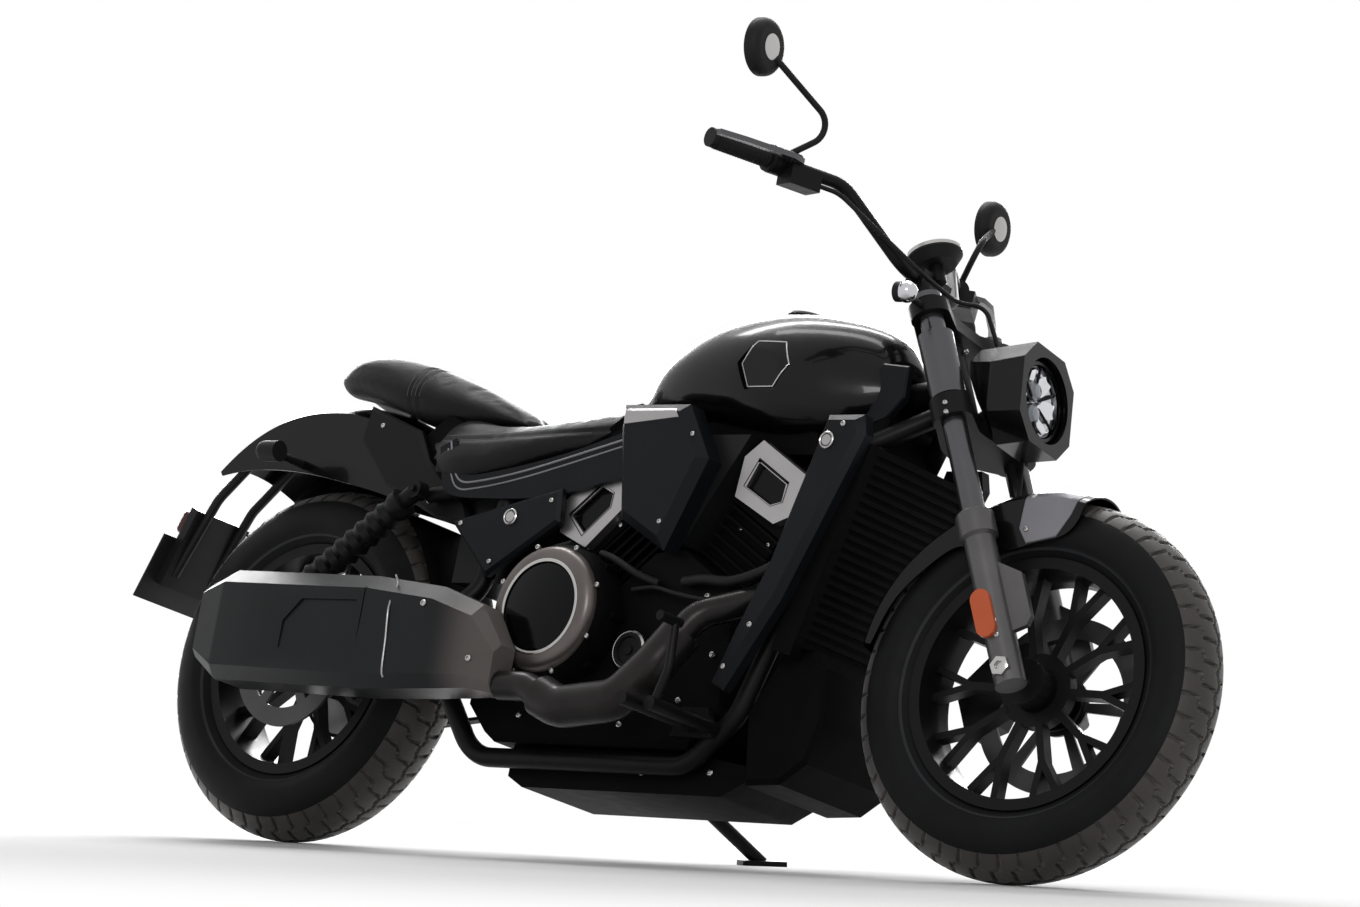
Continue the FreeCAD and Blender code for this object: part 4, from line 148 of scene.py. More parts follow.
def link(tree, source, output, target, entry):
    """A line from one node's output to another node's input."""
    tree.links.new(source.outputs[output], target.inputs[entry])


def node_material(name):
    """An empty node material, its tree and its output node."""
    material = bpy.data.materials.new(name)
    material.use_nodes = True
    tree = material.node_tree
    tree.nodes.clear()
    return material, tree, add(tree, "ShaderNodeOutputMaterial")


def sight_mix(tree, plain, bright):
    """Mixes plain to bright wherever a camera, glossy or transmission ray arrives."""
    path, mix = add(tree, "ShaderNodeLightPath"), add(tree, "ShaderNodeMixShader")
    first, second = (add(tree, "ShaderNodeMath", operation="MAXIMUM") for _ in range(2))
    link(tree, path, "Is Camera Ray", first, 0)
    link(tree, path, "Is Glossy Ray", first, 1)
    link(tree, first, 0, second, 0)
    link(tree, path, "Is Transmission Ray", second, 1)
    link(tree, second, 0, mix, 0)
    link(tree, plain, 0, mix, 1)
    link(tree, bright, 0, mix, 2)
    return mix

# %% World and floor
WHITE = (1, 1, 1, 1)
world = bpy.data.worlds.new("studio")
bpy.context.scene.world = world
world.use_nodes = True
room = world.node_tree
room.nodes.clear()
soft = add(room, "ShaderNodeBackground", {"Color": WHITE, "Strength": 0.34})
white = add(room, "ShaderNodeBackground", {"Color": WHITE, "Strength": 1.0})
link(room, sight_mix(room, soft, white), 0, add(room, "ShaderNodeOutputWorld"), 0)

FLOOR_REACH, FLOOR_FADE = 30.0, (1.3, 3.4)
corners = [(x * FLOOR_REACH, y * FLOOR_REACH, 0) for x, y in ((-1, -1), (1, -1), (1, 1), (-1, 1))]
floor_mesh = bpy.data.meshes.new("floor")
floor_mesh.from_pydata(corners, [], [(0, 1, 2, 3)])
floor = shown("floor", floor_mesh)
pale, tree, output = node_material("pale_floor")
matte = add(tree, "ShaderNodeBsdfDiffuse", {"Color": (0.72, 0.72, 0.72, 1)})
distance = add(tree, "ShaderNodeVectorMath", operation="LENGTH")
fade = add(tree, "ShaderNodeMapRange", {"From Min": FLOOR_FADE[0], "From Max": FLOOR_FADE[1]},
           interpolation_type="SMOOTHSTEP")
far = add(tree, "ShaderNodeMixShader")
link(tree, add(tree, "ShaderNodeTexCoord"), "Object", distance, 0)
link(tree, distance, "Value", fade, "Value")
link(tree, fade, "Result", far, 0)
link(tree, matte, 0, far, 1)
link(tree, add(tree, "ShaderNodeEmission"), 0, far, 2)
link(tree, sight_mix(tree, matte, far), 0, output, 0)
floor_mesh.materials.append(pale)
print("floor fades from", FLOOR_FADE[0], "to", FLOOR_FADE[1], "m")

# %% Lamps
def lamp(name, place, aim, width, height, power):
    """A soft rectangular lamp over the machine, aimed at a point, sizes in metres and watts."""
    data = bpy.data.lights.new(name, "AREA")
    data.shape, data.size, data.size_y, data.energy = "RECTANGLE", width, height, power
    thing = shown(name, data)
    thing.location = place
    thing.rotation_mode = "QUATERNION"
    thing.rotation_quaternion = (Vector(aim) - Vector(place)).to_track_quat("-Z", "Y")


lamp("overhead", (-0.2, 0.7, 4.2), (0, -0.1, 0.6), 3.4, 0.5, 45)
lamp("high_behind", (-1.9, 2.2, 4.4), (0, 0, 0.6), 4.0, 0.6, 140)
lamp("behind", (-4.2, 4.8, 2.6), (0, 0, 0.6), 6.0, 2.6, 900)
lamp("front", (3.4, -4.6, 3.2), (0.2, -0.1, 0.5), 1.6, 1.2, 95)
bpy.context.scene.view_settings.view_transform = "Standard"
print("studio ready")

# %% [markdown]
# ## Finishes
# Every finish starts from the same few layers: a base colour that varies a little, a roughness
# that varies with it, and a fine bump. Paint adds a clear coat, castings a coarser grain, cast
# rubber a dull sheen. All patterns read Object coordinates, so they stay put on each piece.

# %% One helper for every finish
def finish(name, colour, roughness, metallic=0.0, coat=0.0, coat_roughness=0.03, specular=0.5, grain=400.0,
           bump=0.01, vary=0.15, rough_vary=0.08, fade=None, sheen=0.0, transmission=0.0, ior=1.5):
    """A shader with noise in its colour, its roughness and its surface.

    Colour runs between colour times 1 minus vary and 1 plus vary by a broad noise, roughness
    swings by rough_vary with a middle noise, and bump is a fine noise of grain waves a metre.
    With fade (start, end, other), colour turns to other between two places along X."""
    material, tree, output = node_material(name)
    shader = add(tree, "ShaderNodeBsdfPrincipled", {
        "Metallic": metallic, "Coat Weight": coat, "Coat Roughness": coat_roughness,
        "Specular IOR Level": specular, "Sheen Weight": sheen, "Transmission Weight": transmission,
        "IOR": ior})
    link(tree, shader, 0, output, 0)
    place = add(tree, "ShaderNodeTexCoord")

    def noise(scale, detail):
        texture = add(tree, "ShaderNodeTexNoise", {"Scale": scale, "Detail": detail})
        link(tree, place, "Object", texture, "Vector")
        return texture

    shade = add(tree, "ShaderNodeValToRGB")
    for stop, at, share in zip(shade.color_ramp.elements, (0.3, 0.7), (1 - vary, 1 + vary)):
        stop.position = at
        stop.color = (*[min(part * share, 1) for part in colour], 1)
    link(tree, noise(9.0, 4.0), "Fac", shade, "Fac")
    if fade:
        start, end, other = fade
        split = add(tree, "ShaderNodeSeparateXYZ")
        link(tree, place, "Object", split, 0)
        mask = add(tree, "ShaderNodeMapRange", {"From Min": start, "From Max": end},
                   interpolation_type="SMOOTHSTEP")
        link(tree, split, "X", mask, "Value")
        mix = add(tree, "ShaderNodeMix", {"B": (*other, 1)}, data_type="RGBA")
        link(tree, mask, "Result", mix, "Factor")
        link(tree, shade, "Color", mix, "A")
        shade = mix
    link(tree, shade, "Result" if fade else "Color", shader, "Base Color")
    swing = add(tree, "ShaderNodeMapRange", {"To Min": max(roughness - rough_vary, 0.01),
                                             "To Max": min(roughness + rough_vary, 1.0)})
    link(tree, noise(35.0, 3.0), "Fac", swing, "Value")
    link(tree, swing, "Result", shader, "Roughness")
    surface = add(tree, "ShaderNodeBump", {"Strength": 1.0, "Distance": bump / 1000})
    link(tree, noise(grain, 2.0), "Fac", surface, "Height")
    link(tree, surface, "Normal", shader, "Normal")
    return material

# %% Paints, castings and coatings
GLOSS = finish("gloss_black_paint", (0.0022, 0.0022, 0.0026), 0.24, coat=0.20, coat_roughness=0.05,
               specular=0.10, grain=90, bump=0.004)
SATIN = finish("satin_black_paint", (0.0045, 0.0045, 0.0052), 0.42, specular=0.11, grain=900, bump=0.012)
MATTE = finish("matte_black_coating", (0.0095, 0.0098, 0.0105), 0.36, specular=0.12, grain=1200, bump=0.02,
               rough_vary=0.05)
CAST = finish("black_casting", (0.0022, 0.0022, 0.0025), 0.6, specular=0.04, grain=700, bump=0.06, vary=0.3)
COVER = finish("blue_black_cover", (0.0060, 0.0068, 0.0085), 0.42, specular=0.10, grain=1100)
print("dark finishes", len(bpy.data.materials))

# %% Metals and glass
SLIDER = finish("grey_satin_leg", (0.090, 0.086, 0.088), 0.34, metallic=0.5, specular=0.4, grain=900)
TUBE = finish("dark_slide_tube", (0.085, 0.083, 0.088), 0.24, metallic=0.85, grain=700, bump=0.004,
              vary=0.05)
PALEPLATE = finish("pale_satin_plate", (0.34, 0.33, 0.33), 0.36, metallic=0.6, specular=0.4, grain=1300,
                   vary=0.06)
GREYPLATE = finish("grey_satin_plate", (0.19, 0.185, 0.20), 0.40, metallic=0.4, specular=0.4, grain=1300,
                   vary=0.08)
SILVER = finish("satin_silver", (0.34, 0.33, 0.33), 0.36, metallic=0.9, grain=1500, vary=0.08)
STEEL = finish("brushed_steel", (0.42, 0.41, 0.40), 0.28, metallic=1.0, grain=1500, vary=0.06)
CHROME = finish("bright_plate", (0.66, 0.66, 0.67), 0.10, metallic=1.0, rough_vary=0.03, grain=60,
                bump=0.002, vary=0.02)
LAMPBACK = finish("lamp_reflector", (0.52, 0.52, 0.54), 0.14, metallic=1.0, rough_vary=0.05, grain=40,
                  bump=0.05, vary=0.05)
LAMPGLASS = finish("lamp_unit_glass", (0.10, 0.11, 0.13), 0.05, specular=0.6, coat=1.0, rough_vary=0.03,
                   grain=60)
DIALGLASS = finish("dial_glass", (0.004, 0.004, 0.006), 0.06, specular=0.5, coat=1.0, rough_vary=0.02,
                   grain=50, bump=0.002)
BRONZE = finish("warm_grey_cover", (0.115, 0.100, 0.094), 0.34, metallic=0.65, specular=0.4, grain=900,
                bump=0.02, vary=0.2)
PIPE = finish("heat_dulled_pipe", (0.018, 0.016, 0.0155), 0.30, metallic=0.5, specular=0.22, grain=500,
              bump=0.02, vary=0.3)
MUFFLER = finish("muffler_coating", (0.0090, 0.0098, 0.0110), 0.36, specular=0.12, grain=1200, bump=0.02,
                 rough_vary=0.05, fade=(-0.22, -0.11, (0.10, 0.088, 0.083)))
INK = finish("deep_gloss_black", (0.0020, 0.0022, 0.0028), 0.12, specular=0.10, rough_vary=0.03, grain=50,
             bump=0.002)
DISC = finish("dull_brake_disc", (0.060, 0.060, 0.062), 0.38, metallic=0.8, grain=900)
print("finishes so far", len(bpy.data.materials))

# %% Rubber, lenses and the seats' cover
WALLLINE = finish("tyre_wall_line", (0.022, 0.023, 0.025), 0.5, specular=0.2, grain=1400, bump=0.02)
TYRE = finish("tyre_rubber", (0.0045, 0.0047, 0.0052), 0.55, specular=0.09, grain=1400, bump=0.03, vary=0.3,
              sheen=0.01)
TREAD = finish("tread_rubber", (0.030, 0.026, 0.0235), 0.52, specular=0.35, grain=1400, bump=0.05, vary=0.3,
               sheen=0.16)
RUBBER = finish("soft_rubber", (0.005, 0.005, 0.005), 0.6, specular=0.18, grain=2000, bump=0.03)
ORANGE = finish("orange_reflector", (0.50, 0.085, 0.022), 0.30, coat=0.15, specular=0.3, grain=300,
                bump=0.05, vary=0.1)
RED = finish("red_lens", (0.045, 0.002, 0.002), 0.25, coat=0.1, specular=0.2, grain=200, bump=0.05)
PLATE = finish("plate_dark", (0.010, 0.010, 0.011), 0.4, specular=0.2, grain=700)
CLEAR = finish("clear_lens", (0.95, 0.96, 0.97), 0.04, transmission=1.0, ior=1.02, rough_vary=0.02,
               grain=50, bump=0.002, vary=0.01)
HIDE = finish("seat_cover", (0.0050, 0.0052, 0.0058), 0.50, specular=0.13, grain=1600, bump=0.09, vary=0.2,
              sheen=0.025)
THREAD = finish("seat_thread", (0.06, 0.06, 0.064), 0.6, specular=0.3, grain=1600, bump=0.05)
print("finishes", len(bpy.data.materials))

# %% [markdown]
# ## Dressing the CAD pieces
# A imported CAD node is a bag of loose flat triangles. Its mesh is left alone: a weld modifier
# joins the triangles, and a small geometry node group shades it smooth wherever two faces meet
# at a shallow angle, so round parts look round and edges stay crisp.

# %% Smooth shading for CAD nodes
def smoothing_group(degrees):
    """A node group: all faces smooth, and the edges that turn by more than degrees sharp."""
    group = bpy.data.node_groups.new(f"smooth_{degrees}", "GeometryNodeTree")
    for way in ("INPUT", "OUTPUT"):
        group.interface.new_socket("Geometry", in_out=way, socket_type="NodeSocketGeometry")
    start, end = add(group, "NodeGroupInput"), add(group, "NodeGroupOutput")
    faces, edges = (add(group, "GeometryNodeSetShadeSmooth", domain=part) for part in ("FACE", "EDGE"))
    angle = add(group, "GeometryNodeInputMeshEdgeAngle")
    small = add(group, "FunctionNodeCompare", {"B": math.radians(degrees)}, operation="LESS_THAN",
                data_type="FLOAT")
    link(group, angle, "Unsigned Angle", small, "A")
    link(group, start, 0, faces, "Geometry")
    link(group, faces, 0, edges, "Geometry")
    link(group, small, "Result", edges, "Shade Smooth")
    link(group, edges, 0, end, 0)
    return group


SMOOTH, WELD_GAP = smoothing_group(32), 2e-5


def weld(thing):
    """Joins a thing's loose triangles at their common corners."""
    thing.modifiers.new("weld", "WELD").merge_threshold = WELD_GAP


def dress(node, material):
    """Gives a CAD node its finish and welds and smooths what is drawn of it."""
    thing = NODES[node]
    if not thing.material_slots:
        thing.data.materials.append(material)
    for place in thing.material_slots:
        place.material = material
    weld(thing)
    thing.modifiers.new("smooth", "NODES").node_group = SMOOTH

# %% Every node's finish
DRESS = {
    GLOSS: ("fuel_tank", "front_fender", "rear_fender", "headlight_cowl", "headlight_ring"),
    SATIN: ("fork_clamps", "handlebar", "bar_risers", "frame_backbone", "frame_cradle",
            "seat_rails", "swingarm", "rear_shocks", "front_wheel", "rear_wheel", "tail_covers",
            "fuel_cap", "alternator_cover", "foot_controls", "side_stand", "bar_housings"),
    SLIDER: ("fork_sliders",),
    TUBE: ("fork_tubes", "hand_levers"),
    COVER: ("airbox_covers", "side_panels", "radiator_guards"),
    MUFFLER: ("muffler",),
    MATTE: ("plate_arm", "front_caliper", "rear_caliper", "airbox_and_battery_box"),
    CAST: ("engine_case", "belly_pan", "cylinder_banks", "radiator", "clutch_cover"),
    PIPE: ("exhaust_pipe", "exhaust_shield"),
    SILVER: ("head_covers", "rear_pulley"),
    STEEL: ("front_axle", "rear_axle"),
    DISC: ("front_brake_disc", "rear_brake_disc"),
    TYRE: ("front_tyre", "rear_tyre"),
    RUBBER: ("hand_grips", "drive_belt", "instrument", "mirrors", "front_signals", "rear_signals",
             "brake_hose"),
    ORANGE: ("fork_reflectors",),
    RED: ("tail_lamp",),
    PLATE: ("number_plate",),
    CLEAR: ("headlight_lens",),
    HIDE: ("rider_seat", "pillion_seat"),
}
for material, names in DRESS.items():
    for name in names:
        dress(name, material)
bare = sorted(set(NODES) - {name for names in DRESS.values() for name in names})
print("dressed", len(NODES) - len(bare), "bare", bare)

# %% [markdown]
# ## Shapes worked out as surfaces
# Every added piece is a grid of points: rows along it, columns round it. A lathe turns a short
# profile about a line, a strand carries a circle along a path, and a pad lies on a CAD surface
# that rays find. Apart from the rays, all are worked out as whole arrays on the upright
# machine, in millimetres.

# %% Grids and lathes
def cells(rows, columns, around=False):
    """The corners of each cell of a grid of points numbered row by row: (i, j), (i, j + 1),
    (i + 1, j + 1), (i + 1, j), where around joins the last column to the first."""
    last = columns if around else columns - 1
    row, column = np.meshgrid(np.arange(rows - 1), np.arange(last), indexing="ij")
    after = (column + 1) % columns
    return np.stack([row * columns + column, row * columns + after,
                     (row + 1) * columns + after, (row + 1) * columns + column], axis=-1).reshape(-1, 4)


def joined(shapes):
    """Several shapes as one: their points in a row, and each one's faces numbered after the last."""
    starts = np.cumsum([0] + [len(points) for points, _ in shapes[:-1]])
    return (np.concatenate([points for points, _ in shapes]),
            np.concatenate([faces + start for (_, faces), start in zip(shapes, starts)]))


def lathe(profile, sides):
    """A profile of (radius, height) pairs turned about Z: (r cos a, r sin a, h) for even angles a."""
    radius, height = np.asarray(profile, float).T
    angle = np.arange(sides) * 2 * math.pi / sides
    points = np.stack([np.outer(radius, np.cos(angle)), np.outer(radius, np.sin(angle)),
                       np.outer(height, np.ones(sides))], axis=-1)
    return points.reshape(-1, 3), cells(len(radius), sides, True)


def stood(shape, centre, axis, ahead=(1.0, 0.02, 0.0)):
    """The same shape with its Z along axis and its origin at centre."""
    points, faces = shape
    upward = unit(axis)
    across = unit(np.cross(upward, ahead))
    turn = np.stack([np.cross(across, upward), across, upward])
    return points @ turn + np.asarray(centre, float), faces


def turned(profile, sides, centre, axis):
    """A lathed profile that stands at centre with its line along axis."""
    return stood(lathe(profile, sides), centre, axis)

# %% Curves and strands
def flowing(points, count):
    """A Catmull-Rom curve through the points at even steps t of each span:
    q = (2 p1 + (p2 - p0) t + (2 p0 - 5 p1 + 4 p2 - p3) t^2 + (3 p1 - p0 - 3 p2 + p3) t^3) / 2."""
    points = np.asarray(points, float)
    padded = np.concatenate([2 * points[:1] - points[1:2], points, 2 * points[-1:] - points[-2:-1]])
    place = np.linspace(0, len(points) - 1, count)
    span = np.minimum(place.astype(int), len(points) - 2)
    t = (place - span)[:, None]
    p0, p1, p2, p3 = (padded[span + step] for step in range(4))
    slope, bend = p2 - p0, 2 * p0 - 5 * p1 + 4 * p2 - p3
    return (2 * p1 + slope * t + bend * t ** 2 + (3 * p1 - p0 - 3 * p2 + p3) * t ** 3) / 2


def strand(path, radius, sides):
    """A round strand: at each point of the path, path + r (cos a side + sin a rise), where side and
    rise are square to the way on. Its two ends close on a point."""
    path = np.asarray(path, float)
    radius = np.broadcast_to(np.asarray(radius, float), len(path)).copy()
    path = np.concatenate([path[:1], path, path[-1:]])
    radius = np.concatenate([[0.01], radius, [0.01]])
    way = np.gradient(path[1:-1], axis=0)
    way = np.concatenate([way[:1], way, way[-1:]])
    way /= np.linalg.norm(way, axis=1, keepdims=True)
    side = np.cross(way, (0.29, 0.13, 0.95))
    side /= np.linalg.norm(side, axis=1, keepdims=True)
    rise = np.cross(way, side)
    angle = np.arange(sides) * 2 * math.pi / sides
    ring = path[:, None] + radius[:, None, None] * (
        np.cos(angle)[None, :, None] * side[:, None] + np.sin(angle)[None, :, None] * rise[:, None])
    return ring.reshape(-1, 3), cells(len(path), sides, True)

# %% One piece of the machine
STEERED_BODIES = ("steering", "front_wheel")


def make(name, shape, material, body="chassis"):
    """A piece from upright millimetres, set on the leaning machine and riding on a body."""
    points, faces = shape
    mesh = bpy.data.meshes.new(name)
    matrix = STEERED if body in STEERED_BODIES else CHASSIS
    mesh.from_pydata(placed(points, matrix).tolist(), [], faces.tolist())
    mesh.materials.append(material)
    mesh.polygons.foreach_set("use_smooth", np.ones(len(mesh.polygons), bool))
    mesh.update()
    thing = shown(name, mesh)
    thing.modifiers.new("smooth", "NODES").node_group = SMOOTH
    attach(thing, body)
    print(f"{name:24s} {2 * len(faces):7d} triangles")
    return thing

# %% Where a CAD surface lies
def upright(points, matrix):
    """Points of the frame in metres back on the upright machine in millimetres."""
    turn = matrix[:, :3]
    return (np.asarray(points, float) - matrix[:, 3]) @ (turn * 1e6)


TREES = {}


def corners_of(node, steered=False):
    """A CAD node's corner points on the upright machine."""
    thing = NODES[node]
    points = np.empty(len(thing.data.vertices) * 3)
    thing.data.vertices.foreach_get("co", points)
    world = np.array(thing.matrix_world)
    points = points.reshape(-1, 3) @ world[:3, :3].T + world[:3, 3]
    return upright(points, STEERED if steered else CHASSIS)


def skin(node, steered=False):
    """A search tree of a CAD node's triangles on the upright machine, made once and kept."""
    if node not in TREES:
        faces = [tuple(face.vertices) for face in NODES[node].data.polygons]
        TREES[node] = BVHTree.FromPolygons([tuple(point) for point in corners_of(node, steered)], faces)
    return TREES[node]


def struck(nodes, start, way, steered=False):
    """The first point where a ray from start meets any of the CAD nodes, or None."""
    hits = [skin(node, steered).ray_cast(Vector(start), Vector(way)) for node in nodes]
    near = [(distance, point) for point, _, _, distance in hits if point is not None]
    return np.array(min(near, key=lambda hit: hit[0])[1]) if near else None


def side_at(nodes, x, z, side, steered=False, otherwise=0.0):
    """How far out of the middle plane the machine's side lies at (x, z)."""
    far = 700.0
    point = struck(nodes, (x, side * far, z), (0, -side, 0), steered)
    return otherwise if point is None else point[1]


PAD_SINK, PAD_STEPS, PAD_RINGS = 0.6, 8, 8


def pad_on(nodes, outline, side, thick, bevel=1.5, steered=False):
    """A raised pad that follows a side surface: rings of its outline, drawn in toward its middle
    by shares k as c + k (p - c), lie at the surface plus a height for each ring."""
    corners = np.asarray(outline, float)
    after = np.roll(corners, -1, axis=0)
    share = np.arange(PAD_STEPS)[None, :, None] / PAD_STEPS
    loop = (corners[:, None] * (1 - share) + after[:, None] * share).reshape(-1, 2)
    middle = corners.mean(axis=0)
    reach = np.linalg.norm(corners - middle, axis=1).mean()
    rings = [(1.0, -PAD_SINK), (1.0, thick - bevel)]
    rings += [(k, thick) for k in np.linspace(1 - bevel / reach, 0.001, PAD_RINGS)]
    rows, last = [], 0.0
    for k, height in rings:
        flat = middle + (loop - middle) * k
        depth = []
        for x, z in flat:
            last = side_at(nodes, x, z, side, steered, last)
            depth.append(last)
        rows.append(np.stack([flat[:, 0], np.array(depth) + side * height, flat[:, 1]], axis=1))
    points = np.concatenate(rows)
    faces = cells(len(rings), len(loop), True)
    return points, faces if side < 0 else faces[:, ::-1]


def button(radius, height):
    """A domed bolt head with a hollow in its middle, standing on Z = 0."""
    dome = [(radius, -0.5), (radius, height * 0.5), (radius * 0.8, height * 0.9), (radius * 0.5, height),
            (radius * 0.48, height * 0.45), (0.01, height * 0.4)]
    return lathe(dome, 12)


def bolts_on(nodes, places, side, radius, height, steered=False):
    """Bolt heads on a side surface, one at each (x, z)."""
    return [stood(button(radius, height), (x, side_at(nodes, x, z, side, steered), z), (0, side, 0))
            for x, z in places]


print("tools ready")

# %% [markdown]
# ## Tyres
# A tyre is one surface of two numbers: the place u round it and the place v across its section,
# a side wall, a half circle of tread and a side wall again. The tread is cut by S-shaped sipes:
# where the distance from a point to the middle line of its sipe is under half a sipe's width,
# the point sinks toward the axle by up to the tread's depth.

# %% Tyres with a carved tread
TREAD_DEPTH, SIPE_HALF, BLOCKS, TREAD_REACH, TYRE_STEPS = 6.0, 3.9, 50, 0.205, 880


def tyre_section(radius, half, section, bead_half, wall=22, crown=60):
    """Stations across the section: (across, radius, distance from the crown line along the tread).
    A wall runs as y = b + (h - b) sin(w pi / 2), r = rim + (wide - rim) w, and the tread as the
    half circle y = h cos a, r = wide + h sin a."""
    rim, wide = radius - section, radius - half
    w = np.linspace(0, 1, wall, endpoint=False)
    wall_y, wall_r = bead_half + (half - bead_half) * np.sin(w * math.pi / 2), rim + (wide - rim) * w
    a = np.linspace(0, math.pi, crown)
    y = np.concatenate([[bead_half * 0.9], wall_y, half * np.cos(a), -wall_y[::-1], [-bead_half * 0.9]])
    r = np.concatenate([[rim - 8], wall_r, wide + half * np.sin(a), wall_r[::-1], [rim - 8]])
    far = np.full(len(y), 1e3)
    far[wall + 1:wall + 1 + crown] = (a - math.pi / 2) * half
    return y, r, far


def carved(radius, far, angle):
    """How deep the tread is cut at each place round (angle) and across (far): a sipe's middle line
    is u = side shift + jog(|s|), and the depth falls to nothing over its half width. A zigzag
    groove, a sine wave of 4 mm, follows the crown."""
    edge = radius * TREAD_REACH
    pitch = 2 * math.pi * radius / BLOCKS
    s, u = np.abs(far)[:, None], (angle * radius)[None, :]
    jog = pitch * 0.42 * np.clip((s / edge - 0.50) / 0.10, 0, 1) + s * 0.10
    line = jog + pitch * 0.5 * (far[:, None] > 0)
    off = np.abs((u - line + pitch / 2) % pitch - pitch / 2)
    deep = np.clip((SIPE_HALF - off) / 1.6, 0, 1) * (s > edge * 0.10) * np.clip((edge * 1.04 - s) / 4, 0, 1)
    zigzag = np.abs(far[:, None] - 4 * np.sin(2 * math.pi * u / pitch))
    return TREAD_DEPTH * np.maximum(deep, np.clip((2.6 - zigzag) / 1.4, 0, 1))

# %% A whole tyre
def tyre(name, body, centre_x, radius, width, section, bead_half):
    """The tyre's surface, with two raised rings on each wall, in place of the plain CAD tyre."""
    angle = np.arange(TYRE_STEPS) * 2 * math.pi / TYRE_STEPS
    y, r, far = tyre_section(radius, width / 2, section, bead_half)
    rings = sum(np.exp(-((r - at) / 1.5) ** 2) for at in (radius - section * 0.86, radius - section * 0.55))
    wall = np.abs(far) > 500
    out = np.where(wall, 1.4 * rings, 0.0)
    height = r[:, None] - carved(radius, far, angle) * ~wall[:, None]
    across = (y + np.sign(y) * out)[:, None] * np.ones(TYRE_STEPS)
    points = np.stack([centre_x + height * np.cos(angle), across, radius + height * np.sin(angle)], axis=-1)
    thing = make(name, (points.reshape(-1, 3), cells(len(y), TYRE_STEPS, True)[:, ::-1]), TYRE, body)
    thing.data.materials.append(TREAD)
    thing.data.materials.append(WALLLINE)
    row = np.arange(len(thing.data.polygons)) // TYRE_STEPS
    index = np.where(np.abs(far[row]) < radius * TREAD_REACH, 1, np.where(out[row] > 0.4, 2, 0))
    thing.data.polygons.foreach_set("material_index", index)
    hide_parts(name)


tyre("front_tyre", "front_wheel", WHEELBASE, FRONT_RADIUS, 130.0, 107.0, 44.0)
tyre("rear_tyre", "rear_wheel", 0.0, REAR_RADIUS, 150.0, 110.0, 52.0)

# %% [markdown]
# ## Seats
# The two seats are stuffed covers, so cloth makes them: the CAD pad is drawn in a little, cut
# into even cells, blown up against its own skin for twenty frames, and held from moving further
# than its cap, most on top and least below where it sits on the tail. Then come the seams.

# %% Cushions by cloth
CLOTH_FRAMES, CELL, START_INSET, MOST_OUT = 20, 0.006, 0.004, 0.005


def evaluated(thing):
    """The thing's mesh as its modifiers leave it."""
    return bpy.data.meshes.new_from_object(thing.evaluated_get(bpy.context.evaluated_depsgraph_get()))


def coordinates(mesh, part="co", source="vertices"):
    """All of a mesh's vertex positions or normals as one array."""
    values = np.empty(len(getattr(mesh, source)) * 3)
    getattr(mesh, source).foreach_get(part, values)
    return values.reshape(-1, 3)


def cushion(name, node, channel):
    """A stuffed cover swollen from its CAD pad. Every point starts a little inside the pad and moves
    at most MOST_OUT (0.25 + 0.75 n_up); channel(points) then draws it in along the sewn lines."""
    source = NODES[node]
    mesh = source.data.copy()
    mesh.transform(source.matrix_world)
    thing = shown(name, mesh)
    weld(thing)
    remesh = thing.modifiers.new("even", "REMESH")
    remesh.mode, remesh.voxel_size = "VOXEL", CELL
    thing.data = evaluated(thing)
    thing.modifiers.clear()
    normal = coordinates(thing.data, "vector", "vertex_normals")
    rest = coordinates(thing.data) - normal * START_INSET
    thing.data.vertices.foreach_set("co", rest.ravel())
    cloth = thing.modifiers.new("cloth", "CLOTH")
    cloth.settings.use_pressure = True
    cloth.settings.uniform_pressure_force = 4.0
    cloth.settings.effector_weights.gravity = 0.0
    cloth.point_cache.frame_end = CLOTH_FRAMES
    for frame_number in range(1, CLOTH_FRAMES + 1):
        bpy.context.scene.frame_set(frame_number)
    moved = coordinates(evaluated(thing)) - rest
    thing.modifiers.clear()
    bpy.context.scene.frame_set(1)
    upward = normal @ CHASSIS[:, 2] * 1000
    limit = MOST_OUT * (0.25 + 0.75 * np.clip(upward, 0, 1))
    length = np.linalg.norm(moved, axis=1)
    rest = rest + moved * np.minimum(1, limit / np.maximum(length, 1e-9))[:, None]
    local = upright(rest, CHASSIS)
    rest = rest - normal * (channel(local) / 1000)[:, None]
    thing.data.vertices.foreach_set("co", rest.ravel())
    thing.data.polygons.foreach_set("use_smooth", np.ones(len(thing.data.polygons), bool))
    thing.data.materials.clear()
    thing.data.materials.append(HIDE)
    soft = thing.modifiers.new("fine", "SUBSURF")
    soft.levels = soft.render_levels = 1
    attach(thing, "chassis")
    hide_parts(node)
    print(f"{name:24s} {len(thing.data.polygons) * 8:7d} triangles")

# %% Sewn channels and the two covers
SEAT_BACK, SEAT_FRONT, PILLION_BACK, PILLION_FRONT = 268.0, 716.0, -36.0, 440.0
PILLION_SEAM = PILLION_BACK + 0.53 * (PILLION_FRONT - PILLION_BACK)


def groove(distance, half, depth):
    """A sewn channel's depth at a distance from its line: depth (1 - (d / half)^2)^2 inside half."""
    return depth * np.clip(1 - (distance / half) ** 2, 0, 1) ** 2


def pillion_channel(points):
    """Two lines across the pillion, set a finger apart."""
    return sum(groove(points[:, 0] - PILLION_SEAM - off, 7.0, 2.2) for off in (-9.0, 9.0))


def seat_line(along):
    """How high the top panel of the rider's seat meets its side panel, from 0 at the back to 1."""
    return 690.0 + 26.0 * (1 - along) ** 2 + 60.0 * along ** 2


